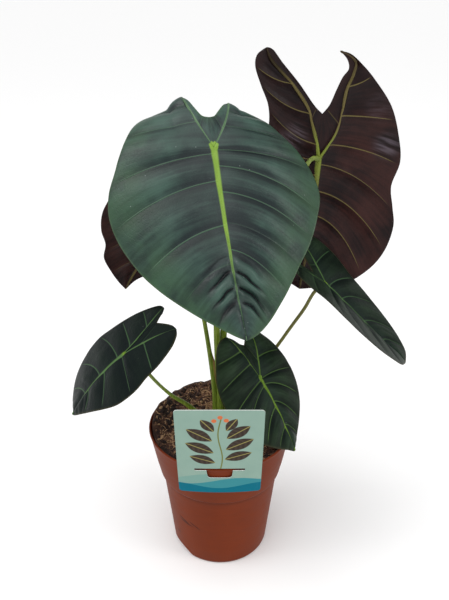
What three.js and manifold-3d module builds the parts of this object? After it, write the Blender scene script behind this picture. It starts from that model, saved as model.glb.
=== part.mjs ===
// A young aroid in a round nursery pot: six arrow-shaped leaves on slender stalks, soil, and a hang card.
// Units are millimetres. +Z is up, -Y is the front, and the origin is the centre of the pot's underside.
import * as THREE from "three";
import { mergeVertices } from "three/addons/utils/BufferGeometryUtils.js";
import Module from "manifold-3d";

// Driving dimensions of the pot
const POT_HEIGHT = 120;
const RIM_RADIUS = 60;
const COLLAR_RADIUS = 51.4;
const COLLAR_BOTTOM = 77;
const COLLAR_STEP = 1.9;
const FOOT_RADIUS = 41;
const WALL = 1.5;
const FLOOR = 2;
const FOOT_CHANNEL_INNER = 20;
const FOOT_CHANNEL_OUTER = 36;
const FOOT_CHANNEL_DEPTH = 2.5;
const FOOT_NOTCH_RADIUS = 9;
const FOOT_NOTCH_STRETCH = 1.9;
const DRAIN_SLOT = [9, 4.5];
const FOOT_NOTCH_ANGLES = [212, 32];
const DRAIN_COUNT = 6;
const POT_SIDES = 48;

// Driving dimensions of the soil
const SOIL_LEVEL = 115;
const SOIL_MOUND = 5;
const SOIL_GAP = 0.35;
const SOIL_RINGS = 7;
const SOIL_LUMP = 1.1;
const SOIL_SLOPE = 2.2;
const SOIL_DIP = 5;

// Driving dimensions of the hang card
const CARD_TOP_WIDTH = 66;
const CARD_BOTTOM_WIDTH = 64.5;
const CARD_ABOVE_RIM = 65;
const CARD_BELOW_RIM = 28;
const CARD_THICKNESS = 0.6;
const CARD_LEAN = 11;
const CARD_CORNER = 3;
const CARD_GAP = 0.6;
const SLIT_WIDTH = 39;
const SLIT_HEIGHT = 2.6;
const TONGUE_WIDTH = 20.5;
const TONGUE_LENGTH = 10;
// The tongue folds back over the rim: its lower face as [y, z] from the card to its end inside the pot
const TONGUE_FOLD = [[-61.3, 122.5], [-59.7, 120.4], [-55.9, 120.4], [-55.6, 115.8]];

// Driving dimensions of the leaves
const BLADE_THICKNESS = 1.1;
const BLADE_EDGE = 0.7;
const BLADE_COLUMNS = [0, 0.1, 0.35, 0.62, 0.84, 1];
const RIB_HEIGHT = 1.4;
const SEAT_GAP = 0.35;
const STALK_APPROACH = 9;
const HOLE_DEPTH = 20;
const HOLE_GAP = 0.5;
const STALK_SIDES = 10;
const STALK_STEPS = 22;

// Shape rules of the leaves: the fall of an arched blade is counted at ARCH_WIDTH from the midrib, a lobe
// bends less near the midrib, and a side vein leaves its rib with a bow towards the tip
const ARCH_WIDTH = 75;
const LOBE_FULL_BEND = 0.4;
const LOBE_ROOT_BEND = 0.35;
const VEIN_BOW = 0.12;
const CLOSEST_ROWS = 3;
const WIDEST_ROWS = 9;

const DEG = Math.PI / 180;
const V2 = (x, y) => new THREE.Vector2(x, y);
const V3 = (x, y, z) => new THREE.Vector3(x, y, z);

// Colours read from the photograph
const COLOUR = {
  pot: 0x7d3c2a,
  soil: 0x3b2a22,
  card: 0x9db3a5,
  stalk: 0x6b7f24,
  bladeGreen: 0x3f5a4e,
  bladeDark: 0x2b3b35,
  bladePurple: 0x3f2424,
};

// Each leaf: where its stalk meets the blade, which way the tip points (heading, droop, roll in degrees),
// how the blade bends, its outline in the leaf's own plane (x across, y towards the tip, the stalk at 0, 0),
// and where its side veins start and end. Left is +x: the left side of a hanging leaf seen on its upper face.
// A costa vein is [share of the costa, share of the outer margin], a midrib vein [mm from the stalk, share].
const LEAVES = {
  front: {
    at: [-4, 5, 354],
    turn: [-78, 52, 0],
    length: 140,
    lobe: 62,
    bend: { tip: 12, lobes: 75, sway: -8, puff: 2.4 },
    left: {
      lift: 0,
      arch: 28,
      inner: [[0, -24], [5, -26], [9, -34], [12, -43], [15, -50]],
      outer: [[15, -50], [21, -56], [31, -59], [43, -54], [54, -39], [62, -20], [71, 5], [79, 24], [81, 42],
        [76, 62], [65, 83], [52, 99], [33, 116], [15, 129], [5, 136], [0, 140]],
      costaBow: 6,
      costaVeins: [[0.78, 0.12], [0.42, 0.25]],
      midribVeins: [[5, 0.42], [25, 0.55], [57, 0.7], [84, 0.82], [108, 0.91]],
    },
    right: {
      lift: 0,
      arch: 28,
      inner: [[0, -24], [-4, -25], [-8, -30], [-13, -37], [-17, -41]],
      outer: [[-17, -41], [-24, -42], [-34, -39], [-45, -30], [-56, -14], [-69, 2], [-80, 17], [-84, 34],
        [-77, 52], [-66, 71], [-49, 91], [-30, 112], [-14, 128], [-5, 136], [0, 140]],
      costaBow: 6,
      costaVeins: [[0.75, 0.12], [0.4, 0.24]],
      midribVeins: [[2, 0.36], [14, 0.5], [33, 0.6], [55, 0.7], [74, 0.8], [98, 0.89]],
    },
    colour: "bladeGreen",
    stalk: { base: [-0.6, -1.8], radius: [2.6, 1.9], via: [[-1.4, 0, 150], [-2.4, 3, 205], [-2, 12, 290]] },
  },
  back: {
    at: [79, 68, 329],
    turn: [95, 84, 0],
    length: 118,
    lobe: 87,
    bend: { tip: 8, lobes: 1, sway: -9, puff: 1.8 },
    left: {
      lift: 0,
      arch: 10,
      inner: [[0, -36], [5, -43], [9, -54], [13, -64], [17, -70], [15, -77], [9, -83]],
      outer: [[9, -83], [17, -81], [25, -75], [37, -63], [53, -42], [62, -18], [66, 3], [62, 24], [66, 42],
        [70, 60], [67, 82], [57, 100], [40, 113], [16, 117], [0, 118]],
      costaBow: 22,
      costaVeins: [[0.75, 0.14], [0.4, 0.3]],
      midribVeins: [[2, 0.42], [6, 0.54], [28, 0.68], [49, 0.79], [78, 0.9]],
    },
    right: {
      lift: 0,
      arch: 10,
      inner: [[0, -36], [-7, -43], [-20, -60], [-33, -75], [-41, -85], [-46, -87]],
      outer: [[-46, -87], [-53, -82], [-54, -73], [-49, -59], [-43, -44], [-42, -28], [-46, -10], [-54, 12],
        [-58, 36], [-55, 62], [-44, 84], [-28, 100], [-11, 111], [0, 118]],
      costaBow: -20,
      costaVeins: [[0.8, 0.1], [0.5, 0.2], [0.2, 0.3]],
      midribVeins: [[12, 0.45], [36, 0.6], [60, 0.74], [84, 0.87]],
    },
    colour: "bladePurple",
    stalk: {
      base: [4.4, 1.4],
      radius: [2.5, 2],
      via: [[4.4, 2.4, 150], [4, 7, 205], [10, 17, 242], [38, 38, 296], [66, 57, 328]],
    },
  },
  right: {
    at: [84, 25, 238.5],
    turn: [-13, 42, 0],
    length: 99,
    lobe: 42,
    bend: { tip: 4, lobes: 4, sway: -6, puff: 1.6 },
    left: {
      lift: 11,
      arch: 3,
      inner: [[0, -14], [6, -21], [15, -34], [22, -40], [29, -41]],
      outer: [[29, -41], [36, -37], [43, -27], [44, -15], [41, -3], [40, 8], [41, 23], [40, 40],
        [36, 57], [27, 73], [14, 87], [0, 99]],
      costaBow: 4,
      costaVeins: [[0.75, 0.12], [0.35, 0.25]],
      midribVeins: [[4, 0.42], [19, 0.58], [46, 0.75], [69, 0.88]],
    },
    right: {
      lift: 15.5,
      arch: 3,
      inner: [[0, -14], [-5, -22], [-12, -33], [-18, -40], [-24, -42]],
      outer: [[-24, -42], [-32, -38], [-38, -26], [-40, -10], [-38, 4], [-34, 20], [-31, 38], [-28, 54],
        [-24, 69], [-18, 82], [-10, 92], [0, 99]],
      costaBow: 4,
      costaVeins: [[0.75, 0.12], [0.35, 0.25]],
      midribVeins: [[4, 0.44], [19, 0.62], [46, 0.8], [69, 0.9]],
    },
    colour: "bladeDark",
    stalk: {
      base: [8.8, 5.8],
      radius: [2.3, 1.2],
      via: [[10.4, 7.4, 130], [28, 24, 158], [49, 32, 177], [65, 33, 199]],
    },
  },
  left: {
    at: [-30, 52, 306],
    turn: [170, 58, 50],
    length: 102,
    lobe: 48,
    bend: { tip: 6, lobes: 20, sway: 0, puff: 1.8 },
    left: {
      lift: 0,
      arch: 8,
      inner: [[0, -20], [6, -26], [13, -38], [19, -46], [26, -48]],
      outer: [[26, -48], [36, -42], [46, -28], [52, -10], [54, 12], [51, 34], [43, 54], [30, 70],
        [15, 82], [5, 91], [0, 102]],
      costaBow: 5,
      costaVeins: [[0.75, 0.12], [0.35, 0.25]],
      midribVeins: [[6, 0.42], [24, 0.57], [46, 0.72], [70, 0.86]],
    },
    right: {
      lift: 0,
      arch: 8,
      inner: [[0, -20], [-6, -26], [-13, -38], [-19, -46], [-26, -48]],
      outer: [[-26, -48], [-36, -42], [-47, -27], [-54, -8], [-57, 14], [-57, 34], [-50, 50], [-40, 62],
        [-35, 75], [-22, 87], [-10, 96], [0, 102]],
      costaBow: 5,
      costaVeins: [[0.75, 0.12], [0.35, 0.25]],
      midribVeins: [[6, 0.42], [24, 0.57], [46, 0.72], [70, 0.86]],
    },
    colour: "bladePurple",
    stalk: { base: [-5.6, 1], radius: [2.6, 1.5], via: [[-6.6, 2, 150], [-11.6, 8, 208], [-24, 26, 270]] },
  },
  centre: {
    at: [31, -18, 176.5],
    turn: [-28, 54, 16],
    length: 71,
    lobe: 43,
    bend: { tip: 20, lobes: 18, sway: 0, puff: 1.3 },
    left: {
      lift: 0,
      arch: 20,
      inner: [[-5, -28], [-2, -31], [1, -37], [5, -42]],
      outer: [[5, -42], [11, -42], [17, -38], [25, -30], [33, -20], [38, -9], [40, 4], [39, 17],
        [36, 29], [30, 40], [22, 50], [13, 59], [5, 66], [0, 71]],
      costaBow: -3,
      costaVeins: [[0.62, 0.18], [0.32, 0.34]],
      midribVeins: [[2, 0.5], [7, 0.64], [27, 0.78], [46, 0.88]],
    },
    right: {
      lift: 0,
      arch: 20,
      inner: [[-5, -28], [-9, -31], [-14, -34], [-20, -34]],
      outer: [[-20, -34], [-26, -30], [-30, -22], [-33, -13], [-35, -3], [-36, 8], [-35, 19], [-32, 30],
        [-27, 40], [-20, 49], [-12, 58], [-5, 66], [0, 71]],
      costaBow: 3,
      costaVeins: [[0.4, 0.27]],
      midribVeins: [[1, 0.42], [6, 0.62], [22, 0.78], [44, 0.88]],
    },
    colour: "bladeDark",
    stalk: { base: [4.2, -7.2], radius: [2.2, 1.2], via: [[5, -7.5, 132], [12, -9, 150], [22, -11, 166]] },
  },
  low: {
    at: [-72, -24, 202.5],
    turn: [169.5, 42.5, -36],
    length: 84,
    lobe: 48,
    bend: { tip: 20, lobes: 10, sway: -6, puff: 1.4 },
    left: {
      lift: 0,
      arch: 20,
      inner: [[6, -36], [9, -39], [12, -43], [16, -44]],
      outer: [[16, -44], [21, -40], [25, -29], [28, -18], [30, -6], [33, 12], [36, 30], [35, 48], [32, 62],
        [25, 76], [14, 82], [5, 83], [0, 84]],
      costaBow: -4,
      costaVeins: [[0.6, 0.15], [0.15, 0.3]],
      midribVeins: [[8, 0.5], [32, 0.72], [56, 0.86]],
    },
    right: {
      lift: 0,
      arch: 20,
      inner: [[6, -36], [3, -40], [-1, -45], [-5, -49], [-9, -51]],
      outer: [[-9, -51], [-14, -49], [-20, -41], [-26, -28], [-30, -13], [-33, -3], [-34, 10], [-32, 24],
        [-25, 41], [-15, 60], [-5, 77], [0, 84]],
      costaBow: -2,
      costaVeins: [[0.4, 0.25]],
      midribVeins: [[3, 0.42], [26, 0.66], [50, 0.84]],
    },
    colour: "bladeDark",
    stalk: { base: [-10, -6.5], radius: [2.4, 1.1], via: [[-12, -8, 130], [-34, -16, 158], [-60, -24, 188]] },
  },
};

// Turns a list of [x, y] into a smooth plane curve.
function planeCurve(points) {
  return new THREE.SplineCurve(points.map(([x, y]) => V2(x, y)));
}

// Straight-line interpolation through known pairs.
function between(value, knots, results) {
  const last = knots.length - 1;
  if (value <= knots[0]) return results[0];
  if (value >= knots[last]) return results[last];
  const i = knots.findIndex((knot) => knot >= value);
  const share = (value - knots[i - 1]) / (knots[i] - knots[i - 1]);
  return results[i - 1] + share * (results[i] - results[i - 1]);
}

// The leaf's own axes in the world: across, along the midrib, and out of the upper face.
function leafAxes([heading, droop, roll]) {
  const h = heading * DEG;
  const d = droop * DEG;
  const along = V3(Math.cos(d) * Math.cos(h), Math.cos(d) * Math.sin(h), -Math.sin(d));
  const up = V3(Math.sin(d) * Math.cos(h), Math.sin(d) * Math.sin(h), Math.cos(d));
  const face = up.clone().applyAxisAngle(along, roll * DEG);
  return { across: along.clone().cross(face), along, face };
}

// Where a point of the flat leaf lies once the blade is bent, in the world.
function bladePoint(leaf, x, y) {
  const { bend, length, lobe } = leaf;
  const half = x >= 0 ? leaf.left : leaf.right;
  const inwards = Math.min(1, Math.abs(x) / (LOBE_FULL_BEND * lobe));
  const lobeTurn = bend.lobes * (LOBE_ROOT_BEND + (1 - LOBE_ROOT_BEND) * inwards * inwards);
  const curl = (y >= 0 ? bend.tip / length : lobeTurn / lobe) * DEG;
  const fall = (half.arch / ARCH_WIDTH) * DEG;
  const lift = half.lift * DEG;
  const width = Math.abs(x);
  const out = (Math.sin(lift) - Math.sin(lift - fall * width)) / fall;
  const rise = (Math.cos(lift - fall * width) - Math.cos(lift)) / fall;
  const angle = curl * y;
  const sway = y > 0 ? bend.sway * (y / length) ** 2 : 0;
  const { across, along, face } = leaf.axes;
  return V3(...leaf.at)
    .addScaledVector(across, Math.sign(x) * out + sway)
    .addScaledVector(along, Math.sin(angle) / curl + rise * Math.sin(angle))
    .addScaledVector(face, (Math.cos(angle) - 1) / curl + rise * Math.cos(angle));
}

// The direction out of the bent blade's upper face.
function bladeNormal(leaf, x, y) {
  const step = 0.4;
  const a = bladePoint(leaf, x + step, y).sub(bladePoint(leaf, x - step, y));
  const b = bladePoint(leaf, x, y + step).sub(bladePoint(leaf, x, y - step));
  return a.cross(b).normalize();
}

// The rows of one half of a blade. Each runs from a rib to the margin, so the relief follows the veins.
// The inner rows go from the sinus to the lobe's tip, the outer rows from there to the leaf's tip.
function halfRows(leaf, half, midribStops) {
  const inner = planeCurve(half.inner);
  const outer = planeCurve(half.outer);
  const lobeTip = inner.getPointAt(1);
  const side = Math.sign(lobeTip.x - inner.getPointAt(0).x);
  const costaMiddle = lobeTip.clone().multiplyScalar(0.5).add(V2(side * half.costaBow, 0));
  const costa = new THREE.QuadraticBezierCurve(V2(0, 0), costaMiddle, lobeTip);
  const veins = [...half.costaVeins, ...half.midribVeins];
  const ends = [0, ...veins.map(([, share]) => share), 1];
  const count = ends.map((_, i) => i);
  const lastCosta = half.costaVeins.at(-1);
  const stalkEnd = (lastCosta[1] + half.midribVeins[0][1]) / 2;
  const costaShares = [0, ...[...half.costaVeins].reverse().map(([share]) => share), 1];
  const costaEnds = [stalkEnd, ...[...half.costaVeins].reverse().map(([, share]) => share), 0];
  const midribPlaces = [0, ...half.midribVeins.map(([mm]) => mm), leaf.length];
  const midribEnds = [stalkEnd, ...half.midribVeins.map(([, share]) => share), 1];
  const stops = costaShares.flatMap((share, i) => (i ? [(share + costaShares[i - 1]) / 2, share] : [share]));
  const row = (root, end, phase) => ({ root, end, phase, reach: root.length() / leaf.length });
  const innerRows = stops.map((share) => row(costa.getPoint(share), inner.getPointAt(share), 2 * share));
  const costaRows = [...stops].reverse().map((share) => {
    const end = between(share, costaShares, costaEnds);
    return row(costa.getPoint(share), outer.getPointAt(end), between(end, ends, count));
  });
  const midribRows = midribStops.slice(1).map((mm) => {
    const end = between(mm, midribPlaces, midribEnds);
    return row(V2(0, mm), outer.getPointAt(end), between(end, ends, count));
  });
  return { side, strips: [innerRows, [...costaRows, ...midribRows]] };
}

// A closed blade: the rows' points on the upper and the lower face, joined round the margin.
function bladeGeometry(leaf) {
  const starts = [...leaf.left.midribVeins, ...leaf.right.midribVeins].map(([mm]) => mm);
  const places = [0, ...starts, leaf.length].sort((a, b) => a - b);
  const firm = places.filter((mm, i) => !i || mm - places[i - 1] > CLOSEST_ROWS);
  const stops = firm.flatMap((mm, i) => {
    const before = firm[i - 1] ?? mm;
    return mm - before > WIDEST_ROWS ? [(mm + before) / 2, mm] : [mm];
  });
  const triangles = [];
  for (const half of [leaf.left, leaf.right]) {
    const { side: turn, strips } = halfRows(leaf, half, stops);
    for (const rows of strips) {
      const grid = rows.map((row) => BLADE_COLUMNS.map((share) => bladePair(leaf, row, share)));
      for (let i = 1; i < grid.length; i++) {
        for (let j = 1; j < BLADE_COLUMNS.length; j++) {
          const [a, b, c, d] = [grid[i - 1][j - 1], grid[i - 1][j], grid[i][j], grid[i][j - 1]];
          pushFace(triangles, turn, a.top, b.top, c.top);
          pushFace(triangles, turn, a.top, c.top, d.top);
          pushFace(triangles, -turn, a.low, b.low, c.low);
          pushFace(triangles, -turn, a.low, c.low, d.low);
        }
        const [a, b] = [grid[i - 1].at(-1), grid[i].at(-1)];
        pushFace(triangles, turn, a.top, a.low, b.low);
        pushFace(triangles, turn, a.top, b.low, b.top);
      }
    }
  }
  return closedGeometry(triangles);
}

// One point of a row, on the upper and on the lower face. The rib is thickest at the stalk.
function bladePair(leaf, row, share) {
  const middle = V2((row.root.x + row.end.x) / 2, row.root.y + VEIN_BOW * (row.end.y - row.root.y));
  const flat = new THREE.QuadraticBezierCurve(row.root, middle, row.end).getPoint(share);
  const across = Math.sin(Math.PI * share ** 0.7) ** 0.8;
  const swell = leaf.bend.puff * Math.abs(Math.sin(Math.PI * row.phase)) * across;
  const normal = bladeNormal(leaf, flat.x, flat.y);
  const place = bladePoint(leaf, flat.x, flat.y).addScaledVector(normal, swell);
  const rib = share === 0 ? RIB_HEIGHT * (1 - 0.8 * Math.min(1, row.reach)) : 0;
  const thick = BLADE_EDGE + (BLADE_THICKNESS - BLADE_EDGE) * (1 - share);
  return {
    top: place.clone().addScaledVector(normal, thick / 2),
    low: place.clone().addScaledVector(normal, -thick / 2 - rib),
  };
}

function pushFace(triangles, turn, a, b, c) {
  triangles.push(...(turn > 0 ? [a, b, c] : [a, c, b]));
}

// Merges the corners of a list of triangles and drops the ones that have shrunk to nothing.
function closedGeometry(corners) {
  const loose = new THREE.BufferGeometry().setFromPoints(corners);
  const merged = mergeVertices(loose, 1e-3);
  const index = merged.getIndex().array;
  const kept = [];
  for (let i = 0; i < index.length; i += 3) {
    const [a, b, c] = [index[i], index[i + 1], index[i + 2]];
    if (a !== b && b !== c && c !== a) kept.push(a, b, c);
  }
  merged.setIndex(kept);
  merged.computeVertexNormals();
  return merged;
}

// A round bar of changing radius along a curve, closed at both ends.
function barGeometry(curve, steps, sides, radiusAt) {
  const frames = curve.computeFrenetFrames(steps);
  const ring = (i) => {
    const centre = curve.getPointAt(i / steps);
    return Array.from({ length: sides }, (_, k) => {
      const turn = (2 * Math.PI * k) / sides;
      const radius = radiusAt(i / steps, turn);
      return centre
        .clone()
        .addScaledVector(frames.normals[i], radius * Math.cos(turn))
        .addScaledVector(frames.binormals[i], radius * Math.sin(turn));
    });
  };
  const rings = Array.from({ length: steps + 1 }, (_, i) => ring(i));
  const triangles = [];
  for (let i = 0; i < steps; i++) {
    for (let k = 0; k < sides; k++) {
      const next = (k + 1) % sides;
      const [a, b, c, d] = [rings[i][k], rings[i][next], rings[i + 1][next], rings[i + 1][k]];
      triangles.push(a, b, c, a, c, d);
    }
  }
  for (const [end, turn] of [[0, -1], [steps, 1]]) {
    const centre = curve.getPointAt(end / steps);
    for (let k = 0; k < sides; k++) {
      pushFace(triangles, turn, centre, rings[end][k], rings[end][(k + 1) % sides]);
    }
  }
  return closedGeometry(triangles);
}

// The stalk's centre line: straight up through the soil, then out to the blade's lower face.
function stalkCurve(leaf) {
  const [x, y] = leaf.stalk.base;
  const seat = BLADE_THICKNESS / 2 + RIB_HEIGHT + SEAT_GAP;
  const top = V3(...leaf.at).addScaledVector(leaf.axes.face, -seat);
  const approach = V3(...leaf.at).addScaledVector(leaf.axes.face, -seat - STALK_APPROACH);
  return new THREE.CatmullRomCurve3([
    V3(x, y, SOIL_LEVEL - HOLE_DEPTH + 1),
    V3(x, y, SOIL_LEVEL + 4),
    ...leaf.stalk.via.map((place) => V3(...place)),
    approach,
    top,
  ]);
}

function stalkGeometry(leaf) {
  const [wide, thin] = leaf.stalk.radius;
  const radiusAt = (share) => wide + (thin - wide) * Math.min(1, share * 1.6);
  return barGeometry(leaf.curve, STALK_STEPS, STALK_SIDES, radiusAt);
}

// Booleans, on solids whose corners are shared
const library = await Module();
library.setup();
const { Manifold, Mesh } = library;

function toSolid(geometry) {
  const bare = geometry.clone();
  bare.deleteAttribute("normal");
  bare.deleteAttribute("uv");
  const merged = mergeVertices(bare, 1e-4);
  return new Manifold(
    new Mesh({
      numProp: 3,
      vertProperties: new Float32Array(merged.getAttribute("position").array),
      triVerts: new Uint32Array(merged.getIndex().array),
    }),
  );
}

function fromSolid(solid) {
  const { vertProperties, triVerts, numProp } = solid.getMesh();
  const places = [];
  for (let i = 0; i < vertProperties.length; i += numProp) places.push(...vertProperties.subarray(i, i + 3));
  const geometry = new THREE.BufferGeometry();
  geometry.setAttribute("position", new THREE.Float32BufferAttribute(places, 3));
  geometry.setIndex([...triVerts]);
  geometry.computeVertexNormals();
  return geometry;
}

// The pot's outer radius at a height, from the foot to the rim
const BODY_TOP = COLLAR_RADIUS - COLLAR_STEP;
function outerRadius(z) {
  if (z < COLLAR_BOTTOM) return FOOT_RADIUS + ((BODY_TOP - FOOT_RADIUS) * z) / COLLAR_BOTTOM;
  return COLLAR_RADIUS + ((RIM_RADIUS - COLLAR_RADIUS) * (z - COLLAR_BOTTOM)) / (POT_HEIGHT - COLLAR_BOTTOM);
}
const innerRadius = (z) => outerRadius(z) - WALL;

function potGeometry() {
  const profile = [
    [0, 0],
    [FOOT_CHANNEL_INNER, 0],
    [FOOT_CHANNEL_INNER + 1, FOOT_CHANNEL_DEPTH],
    [FOOT_CHANNEL_OUTER - 1, FOOT_CHANNEL_DEPTH],
    [FOOT_CHANNEL_OUTER, 0],
    [FOOT_RADIUS - 2, 0],
    [FOOT_RADIUS - 0.6, 0.6],
    [outerRadius(2.2), 2.2],
    [outerRadius(40), 40],
    [BODY_TOP - 0.2, COLLAR_BOTTOM - 0.6],
    [COLLAR_RADIUS - 0.8, COLLAR_BOTTOM],
    [COLLAR_RADIUS + 0.6, COLLAR_BOTTOM + 2],
    [COLLAR_RADIUS + 1.6, COLLAR_BOTTOM + 5],
    [outerRadius(100) + 0.2, 100],
    [RIM_RADIUS - 0.1, POT_HEIGHT - 1],
    [RIM_RADIUS - 0.6, POT_HEIGHT],
    [RIM_RADIUS - WALL, POT_HEIGHT],
    [innerRadius(POT_HEIGHT) - 0.3, POT_HEIGHT - 1],
    [innerRadius(100), 100],
    [innerRadius(COLLAR_BOTTOM + 1), COLLAR_BOTTOM + 1],
    [BODY_TOP - WALL, COLLAR_BOTTOM - 2],
    [innerRadius(40), 40],
    [innerRadius(FLOOR + FOOT_CHANNEL_DEPTH + 1), FLOOR + FOOT_CHANNEL_DEPTH + 1],
    [innerRadius(FLOOR + FOOT_CHANNEL_DEPTH) - 2, FLOOR + FOOT_CHANNEL_DEPTH],
    [0, FLOOR + FOOT_CHANNEL_DEPTH],
  ];
  const shell = new THREE.LatheGeometry(profile.map(([r, z]) => V2(r, z)), POT_SIDES);
  shell.rotateX(Math.PI / 2);
  let solid = toSolid(shell);
  for (const angle of FOOT_NOTCH_ANGLES) {
    const r = FOOT_NOTCH_RADIUS;
    const cutter = new THREE.CylinderGeometry(r, 1.7 * r, 2 * r, 24);
    cutter.rotateZ(Math.PI / 2);
    cutter.scale(1, FOOT_NOTCH_STRETCH, 1);
    cutter.translate(FOOT_RADIUS + r - 4, 0, -0.45 * r);
    cutter.rotateZ(angle * DEG);
    solid = solid.subtract(toSolid(cutter));
  }
  for (let i = 0; i < DRAIN_COUNT; i++) {
    const slot = new THREE.BoxGeometry(...DRAIN_SLOT, 4 * FOOT_CHANNEL_DEPTH);
    slot.translate((FOOT_CHANNEL_INNER + FOOT_CHANNEL_OUTER) / 2, 0, FOOT_CHANNEL_DEPTH + FLOOR / 2);
    slot.rotateZ(((i + 0.5) * 2 * Math.PI) / DRAIN_COUNT);
    solid = solid.subtract(toSolid(slot));
  }
  return fromSolid(solid);
}

// Height of the soil's top at a share of the radius and an angle: a low mound with lumps.
function soilTop(share, angle) {
  const x = share * Math.cos(angle);
  const y = share * Math.sin(angle);
  const lumps = Math.sin(7 * x + 1.3) * Math.cos(6 * y - 0.6) + 0.6 * Math.sin(11 * x * y + 9 * y + 2);
  const mound = SOIL_MOUND * (1 - share) ** 1.5 * share;
  return SOIL_LEVEL + mound + SOIL_LUMP * lumps * share ** 0.5 + SOIL_SLOPE * y * share;
}

function soilGeometry(leaves) {
  const bottom = FLOOR + FOOT_CHANNEL_DEPTH + SOIL_GAP;
  const levels = [bottom + 1.2, 40, COLLAR_BOTTOM - 2.5, COLLAR_BOTTOM + 2, 100];
  const spoke = (radius, k, z) => {
    const angle = (2 * Math.PI * k) / POT_SIDES;
    return V3(radius * Math.cos(angle), radius * Math.sin(angle), z);
  };
  const ringAt = (radius, height) => Array.from({ length: POT_SIDES }, (_, k) => spoke(radius, k, height(k)));
  const reach = innerRadius(SOIL_LEVEL - SOIL_DIP) - SOIL_GAP;
  const rings = [ringAt(innerRadius(bottom) - SOIL_GAP - 2.5, () => bottom)];
  for (const z of levels) rings.push(ringAt(innerRadius(z) - SOIL_GAP, () => z));
  for (let i = SOIL_RINGS; i >= 1; i--) {
    const share = i / SOIL_RINGS;
    rings.push(ringAt(reach * share, (k) => soilTop(share, (2 * Math.PI * k) / POT_SIDES)));
  }
  const triangles = [];
  for (let i = 1; i < rings.length; i++) {
    for (let k = 0; k < POT_SIDES; k++) {
      const next = (k + 1) % POT_SIDES;
      const [a, b, c, d] = [rings[i - 1][k], rings[i - 1][next], rings[i][next], rings[i][k]];
      triangles.push(a, b, c, a, c, d);
    }
  }
  const caps = [[rings[0], bottom, -1], [rings.at(-1), soilTop(0, 0), 1]];
  for (const [ring, z, turn] of caps) {
    for (let k = 0; k < POT_SIDES; k++) {
      pushFace(triangles, turn, V3(0, 0, z), ring[k], ring[(k + 1) % POT_SIDES]);
    }
  }
  let solid = toSolid(closedGeometry(triangles));
  for (const leaf of leaves) {
    const radius = leaf.stalk.radius[0] + HOLE_GAP;
    const hole = new THREE.CylinderGeometry(radius, radius, 2 * HOLE_DEPTH, 12);
    hole.rotateX(Math.PI / 2);
    hole.translate(...leaf.stalk.base, SOIL_LEVEL);
    solid = solid.subtract(toSolid(hole));
  }
  return fromSolid(solid);
}

// A rounded outline with the cut that lets the card hang on the rim.
function cardGeometry() {
  const card = new THREE.Shape();
  const [top, low] = [CARD_TOP_WIDTH / 2, CARD_BOTTOM_WIDTH / 2];
  const r = CARD_CORNER;
  card.moveTo(-low + r, -CARD_BELOW_RIM);
  card.lineTo(low - r, -CARD_BELOW_RIM);
  card.quadraticCurveTo(low, -CARD_BELOW_RIM, low, -CARD_BELOW_RIM + r);
  card.lineTo(top, CARD_ABOVE_RIM - r);
  card.quadraticCurveTo(top, CARD_ABOVE_RIM, top - r, CARD_ABOVE_RIM);
  card.lineTo(-top + r, CARD_ABOVE_RIM);
  card.quadraticCurveTo(-top, CARD_ABOVE_RIM, -top, CARD_ABOVE_RIM - r);
  card.lineTo(-low, -CARD_BELOW_RIM + r);
  card.quadraticCurveTo(-low, -CARD_BELOW_RIM, -low + r, -CARD_BELOW_RIM);
  const cut = new THREE.Path();
  const [slit, tongue] = [SLIT_WIDTH / 2, TONGUE_WIDTH / 2];
  cut.moveTo(-slit, SLIT_HEIGHT / 2);
  cut.lineTo(-slit, -SLIT_HEIGHT / 2);
  cut.lineTo(-tongue, -SLIT_HEIGHT / 2);
  cut.quadraticCurveTo(-tongue + 1, -TONGUE_LENGTH, -tongue + 6, -TONGUE_LENGTH);
  cut.lineTo(tongue - 6, -TONGUE_LENGTH);
  cut.quadraticCurveTo(tongue - 1, -TONGUE_LENGTH, tongue, -SLIT_HEIGHT / 2);
  cut.lineTo(slit, -SLIT_HEIGHT / 2);
  cut.lineTo(slit, SLIT_HEIGHT / 2);
  card.holes.push(cut);
  const plate = { depth: CARD_THICKNESS, bevelEnabled: false, curveSegments: 5 };
  const sheet = new THREE.ExtrudeGeometry(card, plate);
  sheet.rotateX(Math.PI / 2 + CARD_LEAN * DEG);
  sheet.translate(0, -RIM_RADIUS - CARD_GAP, POT_HEIGHT + 1);
  const over = TONGUE_FOLD.map(([y, z], i) => [y + CARD_THICKNESS, i < 3 ? z + CARD_THICKNESS : z]);
  const fold = new THREE.Shape([...TONGUE_FOLD, ...over.reverse()].map(([y, z]) => V2(y, z)));
  const tongueStrip = new THREE.ExtrudeGeometry(fold, { depth: TONGUE_WIDTH - 1, bevelEnabled: false });
  tongueStrip.rotateX(Math.PI / 2);
  tongueStrip.rotateZ(Math.PI / 2);
  tongueStrip.translate((1 - TONGUE_WIDTH) / 2, 0, 0);
  const whole = toSolid(sheet).add(toSolid(tongueStrip));
  return fromSolid(whole);
}

const group = new THREE.Group();
group.name = "potted_aroid";

function addPart(name, geometry, colour, roughness) {
  const material = new THREE.MeshStandardMaterial({ color: COLOUR[colour], roughness, metalness: 0 });
  const mesh = new THREE.Mesh(geometry, material);
  mesh.name = name;
  group.add(mesh);
  return mesh;
}

for (const leaf of Object.values(LEAVES)) {
  leaf.axes = leafAxes(leaf.turn);
  leaf.curve = stalkCurve(leaf);
}
addPart("pot", potGeometry(), "pot", 0.55);
addPart("soil", soilGeometry(Object.values(LEAVES)), "soil", 0.95);
addPart("label", cardGeometry(), "card", 0.35);
for (const [name, leaf] of Object.entries(LEAVES)) {
  addPart(`petiole_${name}`, stalkGeometry(leaf), "stalk", 0.45);
  addPart(`blade_${name}`, bladeGeometry(leaf), leaf.colour, 0.4);
}

export default group;
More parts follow.
